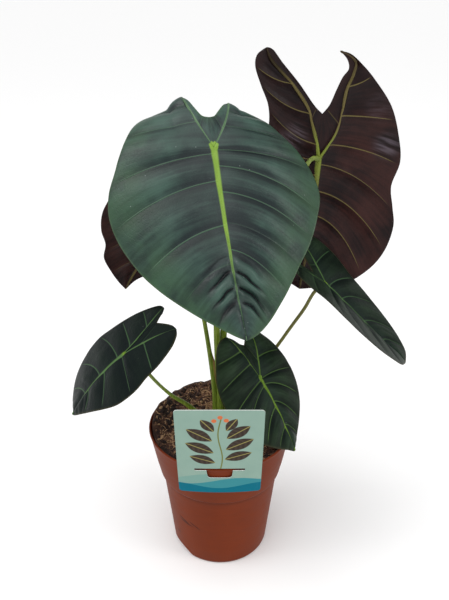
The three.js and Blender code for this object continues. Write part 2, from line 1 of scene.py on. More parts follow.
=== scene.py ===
# %% [markdown]
# # A young potted alocasia
# The plant has six arrow-shaped leaves on slender stalks, in a brown nursery pot with coir soil and a hang
# card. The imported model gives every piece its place. This script gives each one its fine shape and its
# finish.

# %% Load the frame
import math

import bmesh
import bpy
import numpy as np
from mathutils import Matrix, Vector


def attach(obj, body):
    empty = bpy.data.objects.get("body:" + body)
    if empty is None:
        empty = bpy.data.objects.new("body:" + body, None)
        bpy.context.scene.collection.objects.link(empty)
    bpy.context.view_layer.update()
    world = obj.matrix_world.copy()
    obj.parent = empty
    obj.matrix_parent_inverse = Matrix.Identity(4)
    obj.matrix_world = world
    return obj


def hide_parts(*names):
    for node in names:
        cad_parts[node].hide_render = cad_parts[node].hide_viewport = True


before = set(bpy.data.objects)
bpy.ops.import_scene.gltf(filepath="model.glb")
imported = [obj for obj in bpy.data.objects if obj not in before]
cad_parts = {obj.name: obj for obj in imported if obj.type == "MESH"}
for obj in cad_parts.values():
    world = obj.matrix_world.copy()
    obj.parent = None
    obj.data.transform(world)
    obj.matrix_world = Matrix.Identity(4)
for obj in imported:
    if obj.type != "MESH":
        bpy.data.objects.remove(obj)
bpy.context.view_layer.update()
print("nodes in the frame:", len(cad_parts))

# %% [markdown]
# ## Units
# The lengths below are millimetres, because leaves and pots are measured that way. Blender works in metres,
# so each mesh is scaled once, when it is made. Colours are written as 0 to 255 screen values and turned into
# light values.

# %% Units and colours
MM = 0.001


def paint(red, green, blue):
    """A screen colour as the linear colour that a shader needs."""
    shares = (value / 255 for value in (red, green, blue))
    linear = (s / 12.92 if s <= 0.04045 else ((s + 0.055) / 1.055) ** 2.4 for s in shares)
    return (*linear, 1.0)


def link(thing):
    """Puts an object in the scene."""
    bpy.context.scene.collection.objects.link(thing)
    return thing


# %% [markdown]
# ## Formulas as nodes
# A node tree is easier to read as a formula. `Value` wraps one socket, and each operator on it adds the Math
# node that does the same. The same class serves shader trees and geometry trees, because both know the Math
# node.

# %% The formula class
class Value:
    """One output socket that can be used in arithmetic."""

    def __init__(self, tree, socket):
        self.tree = tree
        self.socket = socket

    def math(self, operation, *others):
        return self.tree.add("ShaderNodeMath", dict(enumerate((self, *others))), operation=operation)

    def __rsub__(self, other):
        return self.tree.add("ShaderNodeMath", {0: other, 1: self}, operation="SUBTRACT")

    def __abs__(self):
        return self.math("ABSOLUTE")


OPERATORS = {"add": "ADD", "radd": "ADD", "sub": "SUBTRACT", "mul": "MULTIPLY", "rmul": "MULTIPLY",
             "truediv": "DIVIDE", "pow": "POWER", "gt": "GREATER_THAN", "lt": "LESS_THAN"}
for sign, operation in OPERATORS.items():
    setattr(Value, f"__{sign}__", lambda self, other, operation=operation: self.math(operation, other))


# %% The tree class
NOISE_ROUGHNESS = 0.55


class Tree:
    """A node tree that is filled by one method."""

    def __init__(self, node_tree):
        self.nodes = node_tree.nodes
        self.links = node_tree.links

    def add(self, kind, inputs=None, out=0, **settings):
        """Adds a node: its settings, then the values or links of its sockets. Gives back one output."""
        node = self.nodes.new(kind)
        for name, value in settings.items():
            setattr(node, name, value)
        for key, value in (inputs or {}).items():
            if isinstance(value, Value):
                self.links.new(value.socket, node.inputs[key])
            else:
                node.inputs[key].default_value = value
        return Value(self, node.outputs[out]) if node.outputs else node

    def step(self, value, low, high, start=0.0, end=1.0):
        """A smooth step from start to end while value goes from low to high."""
        inputs = {"Value": value, "From Min": low, "From Max": high, "To Min": start, "To Max": end}
        return self.add("ShaderNodeMapRange", inputs, interpolation_type="SMOOTHSTEP")

    def drop(self, value, low, high):
        """A smooth step down, from 1 to 0."""
        return self.step(value, low, high, 1.0, 0.0)

    def band(self, distance, half, soft=0.5):
        """1 on a line of a half width, and 0 off it, with a soft edge."""
        return self.drop(distance, half * (1 - soft), half * (1 + soft))

    def blend(self, share, first, second):
        """A colour between two colours."""
        return self.add("ShaderNodeMix", {0: share, 6: first, 7: second}, 2, data_type="RGBA")

    def layers(self, colour, *layers):
        """A colour with others laid over it, each with the share that it covers."""
        for share, over in layers:
            colour = self.blend(share, colour, over)
        return colour

    def noise(self, place, size, detail=3.0):
        """Soft random values from 0 to 1, with blotches about one size across."""
        inputs = {"Vector": place, "Scale": 1 / size, "Detail": detail, "Roughness": NOISE_ROUGHNESS}
        return self.add("ShaderNodeTexNoise", inputs, "Fac")

    def cells(self, place, size, feature="F1"):
        """A distance in irregular cells about one size across."""
        inputs = {"Vector": place, "Scale": 1 / size}
        return self.add("ShaderNodeTexVoronoi", inputs, "Distance", feature=feature)

    def split(self, vector):
        node = self.add("ShaderNodeSeparateXYZ", {0: vector}).socket.node
        return [Value(self, output) for output in node.outputs]

    def join(self, x, y, z):
        return self.add("ShaderNodeCombineXYZ", {0: x, 1: y, 2: z})

    def scaled(self, vector, factor):
        return self.add("ShaderNodeVectorMath", {0: vector, "Scale": factor}, operation="SCALE")

    def attribute(self, name, out="Fac"):
        return self.add("ShaderNodeAttribute", None, out, attribute_name=name)


# %% [markdown]
# ## Materials
# Every finish is a Principled shader. A material function works out the colour, the roughness and a height,
# and `finish` connects them. The height goes through a Bump node. Numbers that are the same all over are set
# directly.

# %% Material helpers
def new_material(name):
    material = bpy.data.materials.new(name)
    material.use_nodes = True
    material.node_tree.nodes.clear()
    return material, Tree(material.node_tree)


def finish(tree, colour, roughness, height=None, depth=0.3, **constants):
    """The shader of a finish. depth is the height of the relief in millimetres."""
    inputs = {"Base Color": colour, "Roughness": roughness}
    inputs |= {name.replace("_", " "): value for name, value in constants.items()}
    if height is not None:
        bump = {"Height": height, "Distance": depth * MM, "Strength": 1.0}
        inputs["Normal"] = tree.add("ShaderNodeBump", bump)
    shader = tree.add("ShaderNodeBsdfPrincipled", inputs)
    tree.add("ShaderNodeOutputMaterial", {"Surface": shader})


def object_place(tree):
    """The place on the object in millimetres."""
    return tree.scaled(tree.add("ShaderNodeTexCoord", None, "Object"), 1 / MM)


# %% [markdown]
# ## Geometry Nodes helpers
# A modifier tree starts with one geometry input and its named sizes. The sizes are set on the modifier by
# each socket's identifier, before the object is evaluated. Then the result is kept as a plain mesh.

# %% Geometry Nodes helpers
class Shaper(Tree):
    """A Geometry Nodes tree with named sizes and vectors, and a finish for its result."""

    def __init__(self, name, sizes, vectors=()):
        self.group = bpy.data.node_groups.new(name, "GeometryNodeTree")
        super().__init__(self.group)
        kinds = {"Geometry": "Geometry"} | dict.fromkeys(sizes, "Float") | dict.fromkeys(vectors, "Vector")
        for label, kind in (kinds | {"Finish": "Material"}).items():
            self.group.interface.new_socket(label, in_out="INPUT", socket_type="NodeSocket" + kind)
        self.group.interface.new_socket("Geometry", in_out="OUTPUT", socket_type="NodeSocketGeometry")
        self.start = self.nodes.new("NodeGroupInput")

    def geo(self, kind, inputs=None, **settings):
        return self.add("GeometryNode" + kind, inputs, **settings)

    def size(self, label):
        """One input of the tree: its geometry, a size, a vector or the finish."""
        return Value(self, self.start.outputs[label])

    def move(self, geometry, **way):
        """Moves points by an Offset or to a Position."""
        return self.geo("SetPosition", {"Geometry": geometry, **way})

    def push(self, geometry, amount):
        """Moves points along their normals."""
        return self.move(geometry, Offset=self.scaled(self.geo("InputNormal"), amount))

    def in_metres(self, geometry):
        return self.move(geometry, Position=self.scaled(self.geo("InputPosition"), MM))

    def store(self, geometry, name, value, domain="POINT"):
        inputs = {"Geometry": geometry, "Name": name, "Value": value}
        return self.geo("StoreNamedAttribute", inputs, data_type="FLOAT", domain=domain)

    def gather(self, *geometries):
        joined = self.nodes.new("GeometryNodeJoinGeometry")
        for geometry in reversed(geometries):
            self.links.new(geometry.socket, joined.inputs[0])
        return Value(self, joined.outputs[0])

    def finish(self, geometry):
        """Real faces with the material on them, at the tree's end."""
        real = self.geo("RealizeInstances", {0: geometry})
        painted = self.geo("SetMaterial", {"Geometry": real, "Material": self.size("Finish")})
        smooth = self.geo("SetShadeSmooth", {"Geometry": painted, "Shade Smooth": True})
        out = self.nodes.new("NodeGroupOutput")
        self.links.new(smooth.socket, out.inputs[0])


def evaluated_mesh(thing):
    """The mesh of an object behind all its modifiers."""
    depsgraph = bpy.context.evaluated_depsgraph_get()
    return bpy.data.meshes.new_from_object(thing.evaluated_get(depsgraph), depsgraph=depsgraph)


def shaped(name, start, shaper, **sizes):
    """Runs a Geometry Nodes tree on a mesh, with those of the sizes that it knows, and keeps the mesh."""
    carrier = link(bpy.data.objects.new(name + "_base", start))
    modifier = carrier.modifiers.new("shape", "NODES")
    modifier.node_group = shaper.group
    for item in shaper.group.interface.items_tree:
        key = item.name.replace(" ", "_").lower()
        if item.in_out == "INPUT" and key in sizes:
            value = sizes[key]
            modifier[item.identifier] = float(value) if isinstance(value, int) else value
    mesh = evaluated_mesh(carrier)
    bpy.data.objects.remove(carrier)
    mesh.name = name
    return link(bpy.data.objects.new(name, mesh))


def from_shape(name, shape):
    """An object with the mesh that was built up in a bmesh."""
    mesh = bpy.data.meshes.new(name)
    shape.to_mesh(mesh)
    shape.free()
    return link(bpy.data.objects.new(name, mesh))


def mark(piece, label, value):
    """Writes one number on all points of a piece, for its shader."""
    layer = piece.data.attributes.new(label, "FLOAT", "POINT")
    layer.data.foreach_set("value", np.full(len(piece.data.vertices), value, np.float32))


def dress(piece, slot, *nodes):
    """Hands a finished piece to the frame, in place of the plain solids it stands for."""
    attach(piece, "root")
    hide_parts(*nodes)
    faces = sum(len(face.vertices) - 2 for face in piece.data.polygons)
    print(f"{piece.name}: {faces} triangles")


# %% [markdown]
# ## The camera
# The photograph looks down at the pot from the front. The camera's place was worked out from the ellipses of
# the rim and the foot, so the lens, the height and the tilt are fixed numbers. There is no shift and no blur.

# %% The camera
CAMERA_PLACE = (3.72, -483.17, 479.19)
CAMERA_TILT = 63.3
CAMERA_LENS = 42.0
CAMERA_SENSOR = 36.0
CAMERA_NEAR = 0.01

camera_data = bpy.data.cameras.new("camera")
camera_data.lens = CAMERA_LENS
camera_data.sensor_width = CAMERA_SENSOR
camera_data.clip_start = CAMERA_NEAR
camera = link(bpy.data.objects.new("camera", camera_data))
camera.location = Vector(CAMERA_PLACE) * MM
camera.rotation_euler = (math.radians(CAMERA_TILT), 0, 0)
bpy.context.scene.camera = camera

# %% [markdown]
# ## The studio
# A pale floor, a broad soft sun and two soft lamps give the even light of a shop photograph. The sun stands
# high, a little to the front and left, so the leaves get broad pale highlights. White surroundings fill the
# shadows.

# %% The floor
FLOOR_SIDE = 60.0
FLOOR_COLOUR = paint(254, 254, 254)
FLOOR_ROUGHNESS = 0.9

bpy.ops.mesh.primitive_plane_add(size=FLOOR_SIDE, location=(0, 0, 0))
floor = bpy.context.object
floor.name = "floor"
floor_finish, floor_tree = new_material("pale_floor")
finish(floor_tree, FLOOR_COLOUR, FLOOR_ROUGHNESS)
floor.data.materials.append(floor_finish)

# %% The lamps
LAMPS = {
    "lamp_left": {"place": (-0.9, -0.2, 1.3), "side": 0.7, "power": 5},
    "lamp_right": {"place": (1.2, -0.5, 0.9), "side": 0.5, "power": 4},
}
LAMP_AIM = (0, 0, 0.3)
SKY_STRENGTH = 0.62
SUN_STRENGTH = 1.25
SUN_SOFTNESS = 70
SUN_FROM = (-0.25, -0.3, 1.0)

for name, lamp in LAMPS.items():
    data = bpy.data.lights.new(name, "AREA")
    data.size = lamp["side"]
    data.energy = lamp["power"]
    light = link(bpy.data.objects.new(name, data))
    light.location = lamp["place"]
    aim = Vector(LAMP_AIM) - Vector(lamp["place"])
    light.rotation_euler = aim.to_track_quat("-Z", "Y").to_euler()

sun_data = bpy.data.lights.new("soft_sun", "SUN")
sun_data.energy = SUN_STRENGTH
sun_data.angle = math.radians(SUN_SOFTNESS)
sun = link(bpy.data.objects.new("soft_sun", sun_data))
sun.rotation_euler = Vector(SUN_FROM).to_track_quat("Z", "Y").to_euler()

sky = bpy.data.worlds.new("white_room")
bpy.context.scene.world = sky
sky.use_nodes = True
sky_light = sky.node_tree.nodes["Background"]
sky_light.inputs["Color"].default_value = (1, 1, 1, 1)
sky_light.inputs["Strength"].default_value = SKY_STRENGTH
bpy.context.scene.view_settings.view_transform = "Standard"
print("lamps:", len(LAMPS))

# %% [markdown]
# ## Smooth curves
# The margins and the stalks are smooth lines through a few points. These two helpers draw such a line in the
# plane and in space, and pick points at equal steps along it.

# %% Curve helpers
FINE_STEPS = 24
SMALLEST_GAP = 1e-6


def knot_curve(points, power=0.0):
    """A dense smooth line through points. power 0 spaces its knots evenly, 0.5 by their distances."""
    points = np.array(points, float)
    run_on = min(1, 2 * power)
    first = points[0] + run_on * (points[0] - points[1])
    last = points[-1] + run_on * (points[-1] - points[-2])
    padded = np.vstack([first, points, last])
    t = np.linspace(0, 1, FINE_STEPS, endpoint=False)[:, None]
    line = []
    for a, b, c, d in zip(padded, padded[1:], padded[2:], padded[3:]):
        gaps = (np.linalg.norm(gap) for gap in (b - a, c - b, d - c))
        before, here, after = (max(gap, SMALLEST_GAP) ** power for gap in gaps)
        leave = ((b - a) / before - (c - a) / (before + here) + (c - b) / here) * here
        arrive = ((c - b) / here - (d - b) / (here + after) + (d - c) / after) * here
        rise = c - b
        square = 3 * rise - 2 * leave - arrive
        cube = leave + arrive - 2 * rise
        line.append(b + leave * t + square * t**2 + cube * t**3)
    return np.vstack([*line, points[-1:]])


def along(line, shares):
    """The points of a dense line at shares of its length."""
    steps = np.linalg.norm(np.diff(line, axis=0), axis=1)
    lengths = np.concatenate([[0], np.cumsum(steps)])
    places = np.asarray(shares) * lengths[-1]
    return np.stack([np.interp(places, lengths, line[:, k]) for k in range(line.shape[1])], axis=1)


# %% [markdown]
# ## The six leaves
# An alocasia blade is a long heart. Two stout ribs run from the stalk into the lobes and one to the tip, and
# side veins leave them for the margin. The table holds, for each leaf, where its stalk joins, which way its
# tip points, how it bends, its margin, and where each side vein starts and ends. The margins and the veins
# were picked in the photograph, worked back into the leaf's own plane and rounded. Hidden parts are
# guessed.

# %% The table of leaves
LEAVES = dict(
    front=dict(
        at=(-4, 5, 354), turn=(-78, 52, 0), length=138, lobe=62,
        bend=dict(tip_bend=12, lobe_bend=75, sway=-8, puff=3.0, arch=28),
        left=dict(
            costa_bow=6,
            inner=[(0, -24), (5, -26), (9, -34), (12, -43), (15, -50)],
            outer=[(21, -56), (31, -59), (43, -54), (54, -39), (62, -20), (71, 5), (79, 24), (81, 42),
                   (76, 62), (65, 83), (52, 99), (33, 116), (15, 129), (6, 135)],
            costa_veins=[(0.78, 0.12), (0.42, 0.25)],
            midrib_veins=[(5, 0.42), (25, 0.55), (57, 0.7), (84, 0.82), (108, 0.91)],
            strength=[0.6, 0.8, 1, 1, 1, 0.3, 0],
        ),
        right=dict(
            costa_bow=6,
            inner=[(0, -24), (-4, -25), (-8, -30), (-13, -37), (-17, -41)],
            outer=[(-24, -42), (-34, -39), (-45, -30), (-56, -14), (-69, 2), (-80, 17), (-84, 34), (-77, 52),
                   (-66, 71), (-50, 91), (-33, 112), (-19, 127), (-8, 135)],
            costa_veins=[(0.75, 0.12), (0.4, 0.24)],
            midrib_veins=[(2, 0.36), (14, 0.5), (33, 0.6), (55, 0.7), (74, 0.8), (98, 0.89)],
            strength=[0.5, 0.6, 1, 1, 1, 0.15, 1, 0.2],
        ),
        stalk=dict(
            foot=(0.4, -1.8), wide=2.6, thin=1.9, sheath=0.4,
            via=[(-0.2, 0, 150), (-2.4, 3, 205), (-2, 12, 290)],
        ),
    ),
    back=dict(
        at=(79, 68, 329), turn=(95, 84, 0), length=118, lobe=87,
        bend=dict(tip_bend=8, lobe_bend=1, sway=-9, puff=2.8, arch=10),
        left=dict(
            costa=[(7, -11), (12, -22), (15, -38), (17, -54), (21, -66), (21, -76)],
            inner=[(0, -36), (5, -43), (9, -54), (13, -64), (17, -70), (15, -77), (9, -83)],
            outer=[(17, -81), (25, -75), (37, -63), (53, -42), (62, -18), (66, 3), (62, 24), (66, 42),
                   (70, 60), (67, 82), (57, 100), (40, 113), (16, 117)],
            costa_veins=[(0.64, 0.12), (0.4, 0.27), (0.14, 0.41)],
            midrib_veins=[(5, 0.56), (28, 0.7), (49, 0.8), (78, 0.9)],
        ),
        right=dict(
            costa=[(-3, -14), (-8, -31), (-13, -43), (-24, -58), (-34, -69), (-42, -78)],
            inner=[(0, -36), (-7, -43), (-20, -60), (-33, -75), (-41, -85), (-46, -87)],
            outer=[(-53, -82), (-54, -73), (-49, -59), (-43, -44), (-42, -28), (-46, -10), (-54, 12),
                   (-58, 36), (-55, 62), (-44, 84), (-28, 100), (-11, 111)],
            costa_veins=[(0.66, 0.07), (0.38, 0.13), (0.12, 0.22)],
            midrib_veins=[(2, 0.32), (14, 0.46), (36, 0.6), (60, 0.74), (84, 0.87)],
        ),
        stalk=dict(
            foot=(4.4, 1.4), wide=2.6, thin=1.7, sheath=0.8, approach=(73, 60, 331),
            via=[(4.4, 2.4, 150), (3, 7, 205), (10, 17, 242), (38, 38, 296), (65, 54, 320), (69, 58, 327)],
        ),
    ),
    right=dict(
        at=(84, 25, 238.5), turn=(-13, 42, 0), length=99, lobe=42,
        bend=dict(tip_bend=4, lobe_bend=4, sway=-6, puff=1.6, arch=3, left_lift=11, right_lift=15.5),
        left=dict(
            costa_bow=4,
            inner=[(0, -14), (6, -21), (15, -34), (22, -40), (29, -41)],
            outer=[(36, -37), (43, -27), (44, -15), (41, -3), (40, 8), (41, 23), (40, 40), (36, 57),
                   (28, 75), (17, 90)],
            midrib_veins=[(4, 0.42), (19, 0.58), (46, 0.75), (69, 0.88)],
        ),
        right=dict(
            costa_bow=4,
            inner=[(0, -14), (-5, -22), (-12, -33), (-18, -40), (-24, -42)],
            outer=[(-32, -38), (-38, -26), (-40, -10), (-38, 4), (-34, 20), (-31, 38), (-28, 54), (-24, 70),
                   (-19, 84), (-12, 95)],
            midrib_veins=[(4, 0.44), (19, 0.62), (46, 0.8), (69, 0.9)],
        ),
        stalk=dict(
            foot=(8.8, 5.8), wide=2.3, thin=1.45, olive=0.7,
            via=[(10.4, 7.4, 130), (28, 18, 155), (48.3, 25, 181), (59.1, 28.5, 196.7), (69.5, 31, 212.2)],
        ),
    ),
    left=dict(
        weak_veins=True,
        at=(-30, 52, 306), turn=(170, 58, 50), length=102, lobe=48,
        bend=dict(tip_bend=6, lobe_bend=20, sway=0, puff=1.8, arch=8),
        left=dict(
            costa_bow=5,
            inner=[(0, -20), (6, -26), (13, -38), (19, -46), (26, -48)],
            outer=[(36, -42), (46, -28), (52, -10), (54, 12), (51, 34), (43, 54), (30, 70), (15, 82),
                   (5, 91)],
            midrib_veins=[(6, 0.42), (24, 0.57), (46, 0.72), (70, 0.86)],
        ),
        right=dict(
            costa_bow=5,
            inner=[(0, -20), (-6, -26), (-13, -38), (-19, -46), (-26, -48)],
            outer=[(-36, -42), (-47, -27), (-54, -8), (-57, 14), (-57, 34), (-50, 50), (-40, 62), (-35, 75),
                   (-22, 87), (-10, 96)],
            midrib_veins=[(6, 0.42), (24, 0.57), (46, 0.72), (70, 0.86)],
        ),
        stalk=dict(
            foot=(-3.6, 1), wide=2.6, thin=1.5, wing=2.2,
            via=[(-4.4, 2, 150), (-11.6, 8, 208), (-24, 26, 270)],
        ),
    ),
    centre=dict(
        at=(31, -18, 176.5), turn=(-28, 54, 16), length=71, lobe=43,
        bend=dict(tip_bend=20, lobe_bend=18, sway=0, puff=2.6, arch=20),
        left=dict(
            costa_bow=-3,
            inner=[(-5, -28), (-2, -31), (1, -37), (5, -42)],
            outer=[(11, -42), (17, -38), (25, -30), (33, -20), (38, -9), (40, 4), (39, 17), (36, 29),
                   (30, 40), (22, 50), (13, 59), (5, 66)],
            costa_veins=[(0.62, 0.18), (0.32, 0.34)],
            midrib_veins=[(2, 0.5), (7, 0.64), (27, 0.78), (46, 0.88)],
        ),
        right=dict(
            costa_bow=3,
            inner=[(-5, -28), (-9, -31), (-14, -34), (-20, -34)],
            outer=[(-26, -30), (-30, -22), (-33, -13), (-35, -3), (-36, 8), (-35, 19), (-32, 30), (-27, 40),
                   (-20, 49), (-12, 58), (-5, 66)],
            costa_veins=[(0.4, 0.27)],
            midrib_veins=[(1, 0.42), (6, 0.62), (22, 0.78), (44, 0.88)],
        ),
        stalk=dict(foot=(4.2, -7.2), wide=2.2, thin=1.2, via=[(5, -7.5, 132), (12, -9, 150), (22, -11, 166)]),
    ),
    low=dict(
        at=(-72, -24, 202.5), turn=(169.5, 42.5, -36), length=84, lobe=48,
        bend=dict(tip_bend=20, lobe_bend=10, sway=-6, puff=1.4, arch=20),
        left=dict(
            costa_bow=-4,
            inner=[(6, -36), (9, -39), (12, -43), (16, -44)],
            outer=[(21, -40), (25, -29), (28, -18), (30, -6), (33, 12), (36, 30), (35, 48), (32, 62),
                   (25, 76), (14, 82), (5, 83)],
            costa_veins=[(0.6, 0.15), (0.15, 0.3)],
            midrib_veins=[(8, 0.5), (32, 0.72), (56, 0.86)],
        ),
        right=dict(
            costa_bow=-2,
            inner=[(6, -36), (3, -40), (-1, -45), (-5, -49), (-9, -51)],
            outer=[(-14, -49), (-20, -41), (-26, -28), (-30, -13), (-33, -3), (-34, 10), (-32, 24),
                   (-25, 41), (-15, 60), (-5, 77)],
            costa_veins=[(0.4, 0.25)],
            midrib_veins=[(3, 0.42), (26, 0.66), (50, 0.84)],
        ),
        stalk=dict(
            foot=(-10, -6.5), wide=2.6, thin=1.35,
            via=[(-24, -9, 142), (-40, -16, 160), (-54, -23, 182)],
        ),
    ),
)

# %% [markdown]
# ## A blade laid flat
# A row of points runs from a rib to the margin, the way the side veins do. So the mesh follows the veins, and
# each corner can remember where it is: its vein count, its share of the way out, and its distance from the
# rib. The shader draws every vein from those numbers.

# %% Rows of a flat blade
USUAL_COSTA_VEINS = [(0.75, 0.12), (0.35, 0.25)]
WEAK_VEIN = 0.4
INNER_STRENGTH = ([0, 0.33, 1], [0, 0.4, 0])
ROW_STEP = 1.1
COLUMNS = 44
EVEN_SHARE = 0.55
VEIN_BOW = 0.12
STRAIGHT = 0.5
SHORT_ROW = 4.0
SMALLEST_TURN = 1e-4
SINUS_TRIES = 240
SINUS_PULL = 0.85


def half_rows(leaf, half):
    """Rows of one half blade: their kind, roots, ends, vein counts, places on the rib and strengths."""
    inner = knot_curve(half["inner"])
    outer = knot_curve([half["inner"][-1], *half["outer"], (0, leaf["length"])])
    lobe_tip = inner[-1]
    side = np.sign(lobe_tip[0] - inner[0][0])
    costa_veins = half.get("costa_veins", USUAL_COSTA_VEINS)
    midrib_veins = half["midrib_veins"]
    ends = [0, *(share for _, share in costa_veins + midrib_veins), 1]
    stalk_end = (costa_veins[-1][1] + midrib_veins[0][1]) / 2
    costa_shares = [0, *(share for share, _ in reversed(costa_veins)), 1]
    costa_ends = [stalk_end, *(share for _, share in reversed(costa_veins)), 0]
    midrib_places = [0, *(mm for mm, _ in midrib_veins), leaf["length"]]
    midrib_ends = [stalk_end, *(share for _, share in midrib_veins), 1]

    shares = np.linspace(0, 1, int(np.linalg.norm(lobe_tip) / ROW_STEP) + 1)
    if "costa" in half:
        costa = along(knot_curve([(0, 0), *half["costa"], lobe_tip]), shares)
    else:
        middle = lobe_tip / 2 + np.array([side * half["costa_bow"], 0])
        costa = 2 * np.outer(shares * (1 - shares), middle) + np.outer(shares**2, lobe_tip)
    distance = np.linalg.norm(costa, axis=1)
    tries = np.linspace(0, 1, SINUS_TRIES)
    reachable = along(inner, tries)
    nearest = tries[np.linalg.norm(costa[:, None] - reachable[None], axis=2).argmin(axis=1)]
    inner_share = SINUS_PULL * np.maximum.accumulate(nearest) + (1 - SINUS_PULL) * shares
    inner_share[-1] = 1
    plain = WEAK_VEIN if leaf.get("weak_veins") else 1
    strengths = [0, *half.get("strength", [plain] * (len(ends) - 2)), 0]
    count = np.arange(len(ends))
    costa_out = np.interp(shares, costa_shares, costa_ends)
    stops = np.linspace(0, leaf["length"], int(leaf["length"] / ROW_STEP) + 1)
    midrib_out = np.interp(stops, midrib_places, midrib_ends)
    midrib = np.stack([np.zeros_like(stops), stops], axis=1)
    costa_phase = np.interp(costa_out, ends, count)
    midrib_phase = np.interp(midrib_out, ends, count)
    costa_power, midrib_power = (np.interp(phase, count, strengths) for phase in (costa_phase, midrib_phase))
    inner_power = np.interp(shares, *INNER_STRENGTH)
    lobe_rows = (costa, along(outer, costa_out), costa_phase, distance, costa_power)
    return side, [
        (2, costa, along(inner, inner_share), 0.5 + 1.5 * shares, distance, inner_power),
        (1, *(part[::-1] for part in lobe_rows)),
        (0, midrib, along(outer, midrib_out), midrib_phase, stops, midrib_power),
    ]


def row_grid(root, end, bow):
    """The points of all rows: a bowed line from each root to each end."""
    even = np.linspace(0, 1, COLUMNS + 1)
    shares = EVEN_SHARE * even + (1 - EVEN_SHARE) * (0.5 - 0.5 * np.cos(np.pi * even))
    middle = (root[:, 0] + end[:, 0]) / 2
    bend = np.stack([middle, root[:, 1] + bow * (end[:, 1] - root[:, 1])], axis=1)
    s = shares[None, :, None]
    return shares, root[:, None] * (1 - s) ** 2 + 2 * bend[:, None] * s * (1 - s) + end[:, None] * s**2


# %% The flat blade as a mesh
def flat_blade(name, leaf):
    """A flat mesh in the leaf's own plane, with the vein numbers on its corners."""
    places, faces, veins, ribs, powers = [], [], [], [], []
    known = {}

    def point(xy):
        key = (round(xy[0], 3), round(xy[1], 3))
        if key not in known:
            known[key] = len(places)
            places.append((*key, 0.0))
        return known[key]

    for half in (leaf["left"], leaf["right"]):
        side, strips = half_rows(leaf, half)
        for kind, root, end, phase, reach, strength in strips:
            shares, grid = row_grid(root, end, STRAIGHT if kind == 2 else VEIN_BOW)
            steps = np.linalg.norm(np.diff(grid, axis=0), axis=2)
            gap = steps / np.maximum(np.abs(np.diff(phase)), SMALLEST_TURN)[:, None]
            gap = np.vstack([gap, gap[-1:]])
            parts = np.linalg.norm(np.diff(grid, axis=1), axis=2)
            off = np.hstack([np.zeros((len(grid), 1)), np.cumsum(parts, axis=1)])
            way_out = 1 - (1 - shares) * np.clip(off[:, -1:] / SHORT_ROW, 0, 1)
            for i in range(len(grid) - 1):
                for j in range(COLUMNS):
                    corners = [(i, j), (i, j + 1), (i + 1, j + 1), (i + 1, j)]
                    if side < 0:
                        corners.reverse()
                    indices = [point(grid[c]) for c in corners]
                    kept = [k for k in range(4) if indices[k] != indices[k - 1]]
                    if len(kept) < 3:
                        continue
                    faces.append([indices[k] for k in kept])
                    for r, c in (corners[k] for k in kept):
                        veins.append((phase[r], way_out[r, c], gap[r, c]))
                        ribs.append((reach[r], off[r, c], kind))
                        powers.append(strength[r])
    mesh = bpy.data.meshes.new(name)
    mesh.from_pydata(places, [], faces)
    for label, rows in (("leaf_veins", veins), ("leaf_ribs", ribs)):
        layer = mesh.attributes.new(label, "FLOAT_VECTOR", "CORNER")
        layer.data.foreach_set("vector", np.array(rows, np.float32).ravel())
    layer = mesh.attributes.new("vein_power", "FLOAT", "CORNER")
    layer.data.foreach_set("value", np.array(powers, np.float32))
    return mesh


# %% [markdown]
# ## Bending the blade
# A flat blade becomes a leaf by four bends: the tip curls down, the lobes curl back, each side falls away
# from the midrib, and the tissue between two veins swells. Geometry Nodes does this, because one rule serves
# six leaves and each bend is one named size. The tree makes an upper and a lower face, and joins them at the
# margin.

# %% The tree that bends a blade
DEGREE = math.pi / 180
ARCH_WIDTH = 75.0
LOBE_FULL_BEND = 0.4
LOBE_ROOT_BEND = 0.35

blade = Shaper(
    "bend_a_blade",
    ("Length", "Lobe", "Tip Bend", "Lobe Bend", "Sway", "Puff", "Left Lift", "Right Lift", "Arch", "Pucker",
     "Pucker Place"),
    ("Across", "Along", "Face", "Place"),
)
x, y, _ = blade.split(blade.geo("InputPosition"))
length = blade.size("Length")
on_left = x > 0.0
towards_tip = y > 0.0
width = abs(x)

inwards = (width / (blade.size("Lobe") * LOBE_FULL_BEND)).math("MINIMUM", 1.0)
lobe_turn = blade.size("Lobe Bend") * (inwards * inwards * (1 - LOBE_ROOT_BEND) + LOBE_ROOT_BEND)
tip_curl = blade.size("Tip Bend") / length
lobe_curl = lobe_turn / blade.size("Lobe")
curl = (tip_curl * towards_tip + lobe_curl * (1 - towards_tip)) * DEGREE
fall = blade.size("Arch") * (DEGREE / ARCH_WIDTH)
lift = (blade.size("Left Lift") * on_left + blade.size("Right Lift") * (1 - on_left)) * DEGREE

leaning = lift - fall * width
out = (lift.math("SINE") - leaning.math("SINE")) / fall
rise = (leaning.math("COSINE") - lift.math("COSINE")) / fall
angle = curl * y
share_of_length = (y / length).math("MAXIMUM", 0.0)
local_across = out * x.math("SIGN") + blade.size("Sway") * share_of_length * share_of_length
local_along = angle.math("SINE") / curl + rise * angle.math("SINE")
local_face = (angle.math("COSINE") - 1) / curl + rise * angle.math("COSINE")

bent_place = blade.size("Place")
for label, amount in (("Across", local_across), ("Along", local_along), ("Face", local_face)):
    way_there = blade.scaled(blade.size(label), amount)
    bent_place = blade.add("ShaderNodeVectorMath", {0: bent_place, 1: way_there}, operation="ADD")
bent = blade.move(blade.size("Geometry"), Position=bent_place)

# %% The swelling, the ribs and the two faces
THICKNESS = 0.9
RIB_BELOW = 1.5
RIB_ABOVE = 0.45
TISSUE_SIZE = 22.0
TISSUE_HEIGHT = 1.6
WAVE_SIZE = 34.0
WAVE_HEIGHT = 1.6
FOLD_SIZE = 20.0
FOLD_REACH = (6.0, 26.0)
FOLD_WIDTH = (8.0, 30.0)
RIB_WIDTH_ROOT = 2.2
RIB_WIDTH_LOSS = 1.7
SAME_POINT = 0.004

